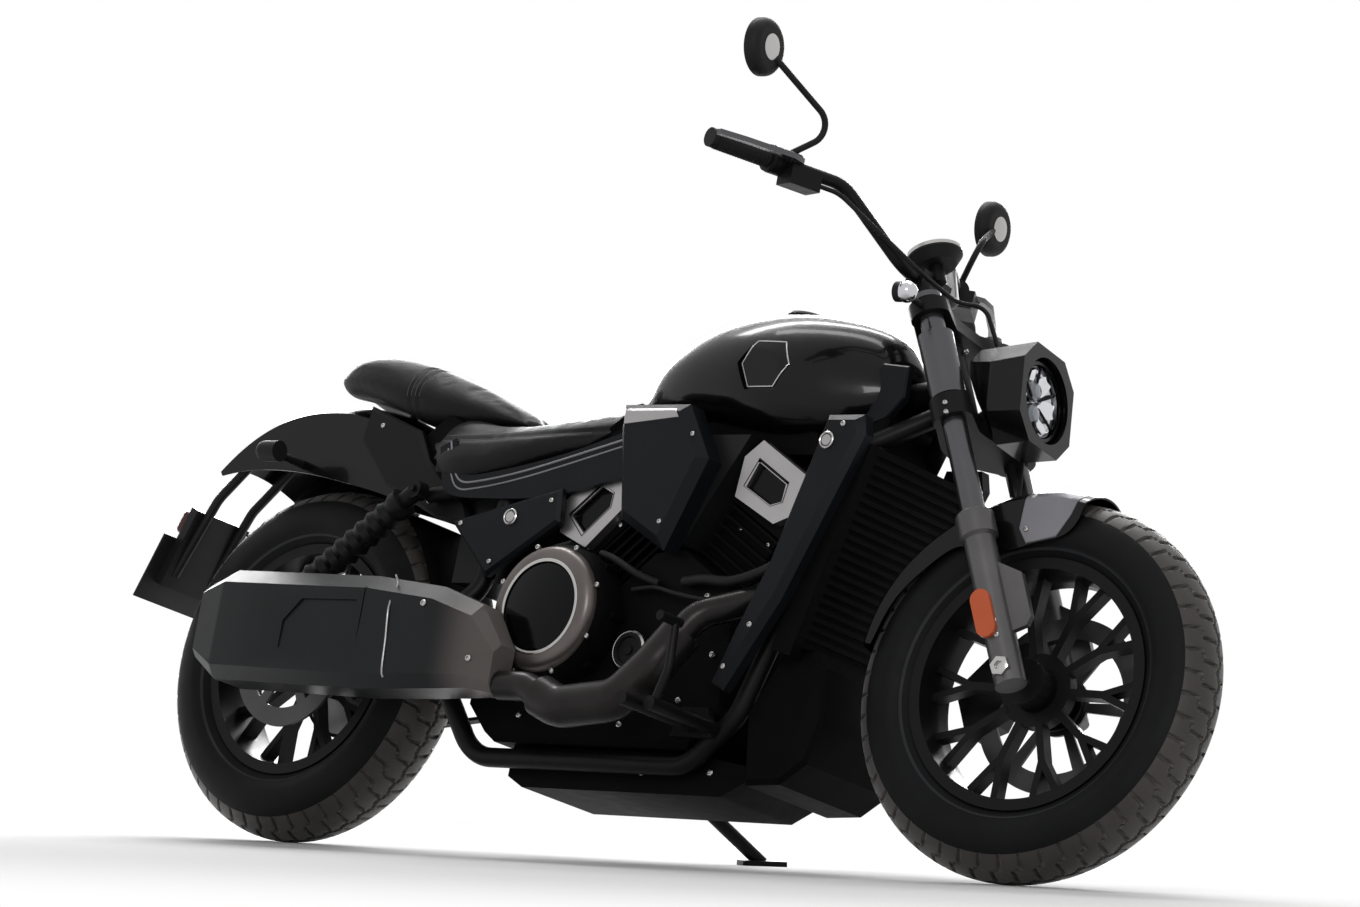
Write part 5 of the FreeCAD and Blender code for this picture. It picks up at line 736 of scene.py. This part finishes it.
def rider_channel(points):
    """A line along each side of the rider's seat, where the top panel meets the side panel, less
    the swell of its back: 34 exp(-((x - 322) / 62)^2), growing from nothing at the line upward."""
    x, y, z = points.T
    along = (x - SEAT_BACK) / (SEAT_FRONT - SEAT_BACK)
    swell = 34.0 * np.exp(-((x - 322) / 62) ** 2) * np.clip((z - 722) / 45, 0, 1)
    return groove(z - seat_line(along), 9.0, 2.4) * (np.abs(y) > 60) - swell


cushion("rider_seat_cover", "rider_seat", rider_channel)
cushion("pillion_cover", "pillion_seat", pillion_channel)

# %% Rays round a seat and a sewn thread
def round_seat(node, x, centre_z, degrees, lift):
    """Where rays from outside the seat, at each x and angle up from the side, meet its skin."""
    found = []
    for place, high, turn in zip(x, centre_z, np.radians(degrees)):
        way = np.array([0, -math.cos(turn), -math.sin(turn)])
        point = struck([node], np.array([place, 0, high]) - way * 400, way)
        if point is not None:
            found.append(point - way * lift)
    return np.array(found)


def thread(path, radius, stitch):
    """A sewn line: a strand whose radius swells once a stitch, r (0.55 + 0.45 |sin(pi s / stitch)|)."""
    step = np.linalg.norm(np.diff(path, axis=0), axis=1)
    run = np.concatenate([[0], np.cumsum(step)])
    even = np.arange(0, run[-1], stitch / 5)
    dense = np.stack([np.interp(even, run, path[:, axis]) for axis in range(3)], axis=1)
    return strand(dense, radius * (0.55 + 0.45 * np.abs(np.sin(math.pi * even / stitch))), 5)

# %% The seams
STITCH, THREAD_RADIUS, ACROSS_STEPS, ALONG_STEPS = 5.0, 0.75, 70, 90
seams = []
degrees = np.linspace(-4, 184, ACROSS_STEPS)
for off in (-14.0, -4.5, 4.5, 14.0):
    across = np.full(ACROSS_STEPS, PILLION_SEAM + off)
    line = round_seat("pillion_seat", across, np.full(ACROSS_STEPS, 800.0), degrees, -0.4)
    seams.append(thread(line, THREAD_RADIUS, STITCH))
along = np.linspace(0.12, 0.84, ALONG_STEPS)
for side in (0.0, 180.0):
    for rise in (-6.0, 6.0):
        x = SEAT_BACK + (SEAT_FRONT - SEAT_BACK) * along
        line = round_seat("rider_seat", x, seat_line(along) + rise, np.full(ALONG_STEPS, side), -0.6)
        seams.append(thread(line, THREAD_RADIUS, STITCH))
make("seat_stitching", joined(seams), THREAD)

# %% [markdown]
# ## Headlight
# Behind a clear dome stands a bright bowl with six petals, parted by dark ribs, and two round
# lamps one over the other. The bowl and the dome share the CAD lens's place and its axis.

# %% Headlight bowl and petals
LAMP_AT, LAMP_TIP, LENS_RADIUS = np.array([1500.0, 0.0, 815.0]), math.radians(8), 61.0
LAMP_AHEAD = np.array([math.cos(LAMP_TIP), 0, math.sin(LAMP_TIP)])
LAMP_UP = np.array([-math.sin(LAMP_TIP), 0, math.cos(LAMP_TIP)])
BOWL = [(LENS_RADIUS - 1.5, 0), (LENS_RADIUS - 4, -9), (LENS_RADIUS * 0.7, -17), (LENS_RADIUS * 0.3, -21),
        (0.01, -22)]
make("headlight_bowl", turned(BOWL, 48, LAMP_AT, LAMP_AHEAD), LAMPBACK, "steering")


def outward(degrees):
    """The way out from the lamp's line at an angle round it, 0 being up."""
    turn = math.radians(degrees)
    return np.array([0, math.sin(turn), 0]) + LAMP_UP * math.cos(turn)


petals = []
for number in range(6):
    out = outward(60 * number + 30)
    across = np.cross(LAMP_AHEAD, out)
    u, v = np.meshgrid(np.linspace(0, 1, 9), np.linspace(-1, 1, 9), indexing="ij")
    reach = 20 + 33 * u
    wide = 15.5 * np.sin(math.pi * (0.15 + 0.62 * u))
    depth = -15 + 11 * u ** 2 + 3 * v ** 2
    points = LAMP_AT + reach[..., None] * out + (wide * v)[..., None] * across + depth[..., None] * LAMP_AHEAD
    petals.append((points.reshape(-1, 3), cells(9, 9)))
make("headlight_petals", joined(petals), CHROME, "steering")

# %% Headlight lamps, ribs and dome
UNIT = [(0.01, -2), (11, -3), (15, -7), (17, -8), (17, -14), (16, -17)]
units = [turned(UNIT, 32, LAMP_AT + LAMP_UP * rise, LAMP_AHEAD) for rise in (19.5, -19.5)]
make("headlight_units", joined(units), LAMPGLASS, "steering")
ribs = []
for number in range(6):
    out = outward(60 * number)
    start = LAMP_AT + out * (30 if number % 3 == 0 else 14)
    ribs.append(strand(np.linspace(start - LAMP_AHEAD * 8, LAMP_AT + out * 57 - LAMP_AHEAD * 3, 8), 2.6, 8))
make("headlight_ribs", joined(ribs), SATIN, "steering")
DOME = [(LENS_RADIUS - 0.6, -3), (LENS_RADIUS - 0.6, 1), (LENS_RADIUS * 0.86, 6.5), (LENS_RADIUS * 0.6, 11.5),
        (LENS_RADIUS * 0.3, 14.6), (0.01, 15.6)]
dome = make("headlight_dome", turned(DOME, 64, LAMP_AT, LAMP_AHEAD), CLEAR, "steering")
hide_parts("headlight_lens")

# %% [markdown]
# ## Trim that lies on the panels
# Plates, windows and caps lie on the CAD surfaces, which may curve, so rays find the surface
# under every point of each outline. Outlines are given as (x, z) seen from the side.

# %% Plates on both sides
def both(nodes, outline, thick, bevel=1.5, steered=False):
    """The same pad on the right and the left side."""
    return joined([pad_on(nodes, outline, side, thick, bevel, steered) for side in (-1, 1)])


FENDER_PLATE = [(1562, 634), (1618, 642), (1664, 638), (1652, 598), (1632, 560), (1580, 546), (1562, 570)]
EMBLEM = [(996, 833), (1018, 874), (1072, 874), (1094, 833), (1072, 792), (1018, 792)]
SHIELD_TOP = [(790, 745), (900, 745), (912, 728), (792, 716)]
fender_plates = both(["front_fender"], FENDER_PLATE, 2.2, steered=True)
make("fender_side_plates", fender_plates, GREYPLATE, "steering")
make("tank_emblem_plates", both(["fuel_tank"], EMBLEM, 2.0), GLOSS)
make("airbox_trim", both(["airbox_covers"], SHIELD_TOP, 1.6), PALEPLATE)

# %% Round caps
CAP = 15.0
CAP_RING = [(CAP, -1), (CAP, 3), (CAP * 0.88, 4.6), (CAP * 0.76, 3.4), (CAP * 0.74, 1)]
CAP_CORE = [(CAP * 0.7, 1), (CAP * 0.62, 3.4), (CAP * 0.3, 3.8), (0.01, 3.0)]
CAP_PLACES = (("side_panels", 545, 560), ("radiator_guards", 1240, 688))
CAPS = {"round_cap_rings": (CAP_RING, STEEL), "round_cap_cores": (CAP_CORE, SILVER)}
for name, (profile, material) in CAPS.items():
    caps = [turned(profile, 40, (x, side_at([node], x, z, side), z), (0, side, 0))
            for node, x, z in CAP_PLACES for side in (-1, 1)]
    make(name, joined(caps), material)

# %% [markdown]
# ## Covers between the castings
# A few dark covers close the gaps that a hand would find behind the larger parts: a curved inner
# fender ahead of the rear tyre, an apron between the down tubes, covers at the neck and trims
# under the seat with two bright beads, and the base that carries the seats. Flat ones are slabs,
# whose edges are a little rounded.

# %% Slabs, sheets and covers
def slab(outline, near, far, bevel=3.0):
    """A plate between y = near and y = far: rings of its outline, drawn in by the bevel at each
    face and closed on its middle."""
    corners = np.asarray(outline, float)
    share = np.arange(6)[None, :, None] / 6
    loop = (corners[:, None] * (1 - share) + np.roll(corners, -1, axis=0)[:, None] * share).reshape(-1, 2)
    middle = corners.mean(axis=0)
    drawn = 1 - bevel / np.linalg.norm(corners - middle, axis=1).mean()
    way = math.copysign(bevel, far - near)
    rings = [(0.001, near), (drawn, near), (1.0, near + way), (1.0, far - way), (drawn, far), (0.001, far)]
    rows = []
    for k, y in rings:
        flat = middle + (loop - middle) * k
        rows.append(np.stack([flat[:, 0], np.full(len(flat), y), flat[:, 1]], axis=1))
    return np.concatenate(rows), cells(len(rings), len(loop), True)


def sheet(lower, upper, face, back, count=48):
    """A plate between two curves, with both long edges folded back: at each step along, the
    columns are the lower edge's back and face, the upper edge's face and its back."""
    low, high = flowing(lower, count), flowing(upper, count)
    columns = [(low, back), (low, face), (low * 0.5 + high * 0.5, face), (high, face), (high, back)]
    rows = [np.stack([curve[:, 0], np.full(count, y), curve[:, 1]], axis=1) for curve, y in columns]
    return np.stack(rows, axis=1).reshape(-1, 3), cells(count, len(columns))


print("slabs and sheets ready")

# %% The inner fender
turn, across = np.radians(np.linspace(-4, 48, 40)), np.linspace(-84, 84, 15)
SHEET_RADIUS = 350.0 - 9.0 * np.clip((np.abs(across) - 66) / 18, 0, 1) ** 2


def curved(radius):
    """A sheet about the rear axle: (r cos a, y, axle + r sin a), with a radius for each y."""
    return np.stack([np.outer(np.cos(turn), radius), np.ones((40, 1)) * across,
                     REAR_RADIUS + np.outer(np.sin(turn), radius)], axis=-1).reshape(-1, 3)


faces = cells(40, 15)
inner_fender = joined([(curved(SHEET_RADIUS + 3), faces), (curved(SHEET_RADIUS), faces[:, ::-1])])
make("inner_fender", inner_fender, CAST)

# %% Apron, neck and base
APRON = [(1142, 118), (1214, 122), (1264, 158), (1282, 232), (1268, 322), (1238, 350), (1176, 345),
         (1120, 240)]
NECK_COVER = [(1150, 748), (1182, 800), (1236, 856), (1290, 850), (1292, 796), (1262, 760), (1200, 738)]
NECK_FILL = [(1120, 690), (1130, 735), (1246, 786), (1266, 762), (1262, 704), (1215, 690)]
UNDER_FILL = [(700, 700), (700, 742), (900, 750), (1130, 750), (1140, 690), (1000, 690)]
TAIL_BASE = [(210, 700), (290, 772), (352, 742), (430, 700), (440, 640), (380, 592), (300, 604)]
SEAT_BASE = [(426, 640), (426, 696), (560, 702), (690, 742), (722, 788), (764, 744), (752, 690), (600, 656)]
make("front_apron", slab(APRON, -118, 118, 8), CAST)
make("neck_covers", joined([slab(NECK_COVER, side * 56, side * 74) for side in (-1, 1)]), COVER)
under = joined([slab(NECK_FILL, -72, 72, 6), slab(UNDER_FILL, -92, 92, 6)])
make("under_tank_cover", under, CAST)
make("seat_base", joined([slab(TAIL_BASE, -98, 98, 6), slab(SEAT_BASE, -84, 84, 6)]), CAST)

# %% Seat trims and their beads
TRIM_LOW = [(332, 690), (344, 650), (372, 606), (470, 597), (620, 602), (776, 636)]
TRIM_HIGH = [(366, 706), (382, 670), (404, 640), (500, 650), (640, 680), (776, 722)]
trims = [sheet(TRIM_LOW, TRIM_HIGH, side * 146, side * 136) for side in (-1, 1)]
make("seat_trims", joined(trims), COVER)
BEAD = [(356, 700), (370, 664), (394, 630), (440, 628), (560, 650), (776, 706)]
beads = []
for side in (-1, 1):
    for drop, thick in ((0.0, 2.2), (13.0, 1.8)):
        route = flowing([(x - drop * 0.3, side * 146, z - drop) for x, z in BEAD], 60)
        beads.append(strand(route, thick, 8))
make("seat_trim_beads", joined(beads), GREYPLATE)

# %% The muffler's seam and the rims of the tank plates
SEAM = [(432, 418), (436, 400), (440, 360), (446, 300), (450, 250), (452, 236)]
seam = [(x, side_at(["muffler"], x, z, -1, False, -290) - 1.0, z) for x, z in SEAM]
make("muffler_seam", strand(flowing(seam, 30), 1.8, 8), PALEPLATE)
loop, share = np.asarray(EMBLEM + EMBLEM[:1], float), np.arange(8)[:, None] / 8
edge = (loop[:-1, None] + (loop[1:] - loop[:-1])[:, None] * share).reshape(-1, 2)
edge = np.concatenate([edge, loop[-1:]])
rims = [strand([(x, side_at(["fuel_tank"], x, z, side) + side * 1.6, z) for x, z in edge], 1.3, 8)
        for side in (-1, 1)]
make("tank_emblem_rims", joined(rims), STEEL)

# %% [markdown]
# ## Windows on the engine
# The clutch cover has a dark round window in a bright ring, with a warm grey band about it, and
# each head cover a dark window with five corners. The round ones are lathed, and the others are
# pads, drawn as shares of the head cover and turned with its bank.

# %% Clutch window, ring and band
CLUTCH_X, CLUTCH_Z, CLUTCH_FACE, RIGHT = 710.0, 386.0, -217.0, (0, -1, 0)
CLUTCH = {
    "clutch_window": ([(76, -1), (76, 1.4), (73, 2.4), (0.01, 2.6)], 64, 0, INK),
    "clutch_ring": ([(84.5, -3), (84.5, 0.8), (82, 1.8), (78.8, 0.8), (78.8, -3)], 80, 3, STEEL),
    "clutch_band": ([(85, -2.5), (85, 2.4), (92, 2.8), (101, 0.4), (107, -6), (110, -16), (111, -30)], 96, 1,
                    BRONZE),
}
for name, (profile, sides, out, material) in CLUTCH.items():
    make(name, turned(profile, sides, (CLUTCH_X, CLUTCH_FACE - out, CLUTCH_Z), RIGHT), material)

# %% Windows of the head covers
CRANK_AT, BANK_ANGLES, COVER_HALF, COVER_FOOT, COVER_HIGH = (925.0, 345.0), (30.0, -42.0), 79.8, 273.0, 105.0
WINDOW_SHARES = [(-0.58, 0.22), (0.36, 0.24), (0.60, 0.42), (0.44, 0.74), (-0.62, 0.74)]
windows = []
for degrees in BANK_ANGLES:
    turn = math.radians(degrees)
    outline = []
    for wide, high in WINDOW_SHARES:
        x, z = wide * COVER_HALF, COVER_FOOT + high * COVER_HIGH
        outline.append((CRANK_AT[0] + x * math.cos(turn) + z * math.sin(turn),
                        CRANK_AT[1] - x * math.sin(turn) + z * math.cos(turn)))
    windows.append(both(["head_covers"], outline, 1.2, 0.6))
make("cover_windows", joined(windows), INK)

# %% [markdown]
# ## Grips
# Rubber grips are ribbed so that a hand doesn't slip. The ribs are a sine wave on the radius of a
# lathe, as r = 17 + 0.55 sin(2 pi s / 5.5), which follows each grip's line.

# %% Ribbed grips
BAR_BEND, BAR_END, GRIP = np.array([1150.0, 185.0, 1120.0]), np.array([1048.0, 440.0, 1098.0]), 122.0
run = np.linspace(8, GRIP - 10, 150)
ribbed = np.stack([17.0 + 0.55 * np.sin(2 * math.pi * run / 5.5), run], axis=1)
grips = [turned(ribbed, 32, BAR_END * (1, side, 1), unit(BAR_BEND - BAR_END) * (1, side, 1))
         for side in (-1, 1)]
make("grip_ribs", joined(grips), RUBBER, "steering")

# %% [markdown]
# ## Bolts
# Small bright bolt heads stand out all over the black machine, so they are placed one by one,
# most of them the same on both sides, and joined into one piece a body.

# %% Tables of bolts: places, radius and height on each node
CHASSIS_BOLTS = {
    "radiator_guards": ([(1268, 716), (1150, 372), (1110, 300)], 5, 3.5),
    "airbox_covers": ([(945, 700), (915, 545), (800, 590)], 4.5, 3),
    "side_panels": ([(430, 548), (632, 590), (515, 480)], 4.5, 3),
    "engine_case": ([(1010, 430), (990, 250), (870, 205), (640, 215), (560, 260), (1045, 330), (820, 452),
                     (610, 430)], 6, 5),
    "cylinder_banks": ([(1020, 560), (1085, 530), (700, 520), (760, 560)], 5, 4),
    "tail_covers": ([(300, 600), (150, 740), (330, 660)], 4.5, 3),
}
STEERING_BOLTS = {
    "front_fender": ([(1576, 570), (1576, 628)], 5, 5),
    "fork_sliders": ([(1590, 395), (1600, 372)], 4.5, 3),
    "fork_clamps": ([(1420, 742), (1414, 758), (1340, 900)], 4.5, 4),
}


def side_bolts(table, side, steered=False):
    """The bolt heads of every node of a table, on one side."""
    return [bolt for node, (places, radius, height) in table.items()
            for bolt in bolts_on([node], places, side, radius, height, steered)]

# %% Bolt heads
CLUTCH_BOLTS, CLUTCH_BOLT_FACE = 116, -204
bolts = side_bolts(CHASSIS_BOLTS, -1) + side_bolts(CHASSIS_BOLTS, 1)
bolts += bolts_on(["muffler"], [(520, 366), (640, 274)], -1, 6, 4.5)
bolts += bolts_on(["belly_pan"], [(700, 140), (900, 135), (1050, 140)], -1, 6, 4)
for number in range(8):
    turn = math.radians(45 * number + 22)
    x, z = CLUTCH_X + CLUTCH_BOLTS * math.cos(turn), CLUTCH_Z + CLUTCH_BOLTS * math.sin(turn)
    bolts.append(stood(button(5, 4), (x, CLUTCH_BOLT_FACE, z), RIGHT))
make("chassis_bolts", joined(bolts), STEEL)
AXLE_NUT = [(17, -8), (17, 3), (13, 5), (8, 5), (7.5, -4), (0.01, -4)]
bolts = []
for side in (-1, 1):
    bolts += side_bolts(STEERING_BOLTS, side, True)
    bolts.append(turned(AXLE_NUT, 6, (WHEELBASE, side * 137.0, FRONT_RADIUS), (0, side, 0)))
make("steering_bolts", joined(bolts), STEEL, "steering")

# %% [markdown]
# ## Small lamps, glass and the dial
# The front signals are bright glass balls, the mirrors have a pale disc on their backs, and the
# dial has a dark glass with a bright edge. All are lathed, and rays find the mirrors' faces.

# %% Signals, mirrors and dial
SIGNAL_AT, SIGNAL_BALL = np.array([1331.0, 200.0, 927.0]), 18.5
arc = np.linspace(-math.pi / 2, math.pi / 2, 13)
ball = lathe(np.stack([np.maximum(SIGNAL_BALL * np.cos(arc), 0.01), SIGNAL_BALL * np.sin(arc)], axis=1), 32)
glasses = [stood(ball, SIGNAL_AT * (1, side, 1), (1, 0, 0), (0, 0, 1)) for side in (-1, 1)]
make("front_signal_glass", joined(glasses), LAMPBACK, "steering")

BACK_DISC = lathe([(22, -1), (22, 1), (19, 2.4), (8, 3), (0.01, 3)], 40)
MIRROR = lathe([(45, -0.5), (45, 0.6), (43.5, 1.2), (0.01, 1.2)], 48)
for name, shape, ahead, material in (("mirror_back_discs", BACK_DISC, 1, STEEL),
                                     ("mirror_glass", MIRROR, -1, CHROME)):
    pair = []
    for side in (-1, 1):
        start = np.array([1096.0 + ahead * 200, side * 400.0, 1277.0])
        at = struck(["mirrors"], start, (-ahead, 0, 0), True)
        pair.append(stood(shape, at, (ahead, 0, 0), (0, 0, 1)))
    make(name, joined(pair), material, "steering")

# %% The dial
DIAL_AT, DIAL_TILT = np.array([1235.0, 0.0, 1072.0]), math.radians(25)
DIAL_UP = np.array([-math.sin(DIAL_TILT), 0, math.cos(DIAL_TILT)])
GLASS = [(42, -2.8), (41, -1.2), (0.01, -0.8)]
EDGE = [(48.2, -6), (48.2, 0.4), (46, 1.4), (43, 0.2), (43, -2)]
make("dial_glass", turned(GLASS, 48, DIAL_AT, DIAL_UP), DIALGLASS, "steering")
make("dial_ring", turned(EDGE, 64, DIAL_AT, DIAL_UP), STEEL, "steering")

# %% [markdown]
# ## Hoses and pipes on the engine
# A few hoses run between the banks and the case on the right side. Each is a strand along a
# smooth curve through points beside the castings. A small round cover with a bright rim sits
# among them, lathed about a line that runs out of the case.

# %% Engine hoses
HOSES = {
    "cooling_hose": ([(1150, -128, 500), (1120, -150, 470), (1068, -158, 452), (1010, -156, 455),
                      (960, -150, 452)], 9.0),
    "breather_hose": ([(905, -150, 448), (860, -158, 462), (800, -156, 488), (760, -146, 500)], 6.5),
    "lower_hose": ([(690, -150, 516), (650, -158, 500), (600, -158, 470), (560, -150, 430),
                    (548, -146, 380)], 6.0),
    "wiring": ([(1090, -148, 436), (1030, -160, 420), (960, -160, 428), (900, -154, 440),
                (850, -152, 436)], 4.0),
}
for name, (route, thick) in HOSES.items():
    make(name, strand(flowing(route, 60), thick, 12), RUBBER)
SMALL_COVER = [(34, -1), (34, 16), (31, 20), (24, 20), (22, 16), (9, 16), (8, 19), (0.01, 19)]
COVER_RIM, COVER_AT = [(34.4, 12), (34.4, 17), (31.6, 20.6), (30.8, 20.2)], (872, -140.3, 330)
make("small_side_cover", turned(SMALL_COVER, 48, COVER_AT, RIGHT), SATIN)
make("small_cover_rim", turned(COVER_RIM, 48, COVER_AT, RIGHT), STEEL)

# %% [markdown]
# ## Spacers, stays and buffers
# Short pieces close the gaps that the CAD nodes leave between a part and what carries it: rings
# between hub, disc and pulley, a bracket from the rear axle to its caliper, and buffers at the
# narrowest place between two nodes.

# %% Spacers, stays and buffers
SPACER_IN, SPACER_OUT, HUB_END, DISC_FACE, PULLEY_FACE = 28.0, 46.0, 58.0, 69.5, 82.0


def spacer(centre, side, far):
    """A ring along Y from a hub's end to a face, a little deeper than the gap: r from 28 to 46."""
    near, far = HUB_END - 0.5, far + 0.5
    ring = [(SPACER_OUT, near), (SPACER_OUT, far), (SPACER_IN, far), (SPACER_IN, near), (SPACER_OUT, near)]
    return turned(ring, 48, centre, (0, side, 0))


def buffer(first, second, radius, steered=False):
    """A short round peg between two nodes: from the corner point p of one that is nearest to the
    other's surface, to the nearest point q there, with p - q made 3 mm longer at each end."""
    best = None
    for here, there in ((first, second), (second, first)):
        for point in corners_of(here, steered):
            spot, _, _, gap = skin(there, steered).find_nearest(Vector(point), 30.0)
            if spot is not None and (best is None or gap < best[0]):
                best = (gap, point, np.array(spot))
    gap, start, end = best
    way = unit(end - start) * 3.0
    print(f"{first} to {second}: {gap:.1f} mm at {np.round(start)}")
    return strand(np.linspace(start - way, end + way, 5), radius, 20)

# %% Spacers on the wheels and the caliper's bracket
make("front_disc_spacer", spacer((WHEELBASE, 0, FRONT_RADIUS), 1, DISC_FACE), SATIN, "front_wheel")
rear_rings = [spacer((0, 0, REAR_RADIUS), side, face) for side, face in ((-1, DISC_FACE), (1, PULLEY_FACE))]
make("rear_spacers", joined(rear_rings), SATIN, "rear_wheel")
BRACKET = [(-98, 26), (-60, 30), (-10, 26), (20, 12), (20, -12), (-10, -26), (-60, -34), (-98, -34)]
bracket = slab([(x, REAR_RADIUS + z) for x, z in BRACKET], -90.0, -98.0, 1.5)
make("rear_caliper_bracket", bracket, MATTE)

# %% Stay and buffers
BUFFERS = (("fuel_tank", "frame_backbone", 8.0), ("radiator", "frame_cradle", 7.0),
           ("side_panels", "frame_cradle", 7.0), ("rider_seat", "seat_rails", 8.0),
           ("pillion_seat", "rear_fender", 8.0))
make("headlight_stay", buffer("headlight_cowl", "fork_clamps", 9.0, True), SATIN, "steering")
make("mount_buffers", joined([buffer(*row) for row in BUFFERS]), RUBBER)
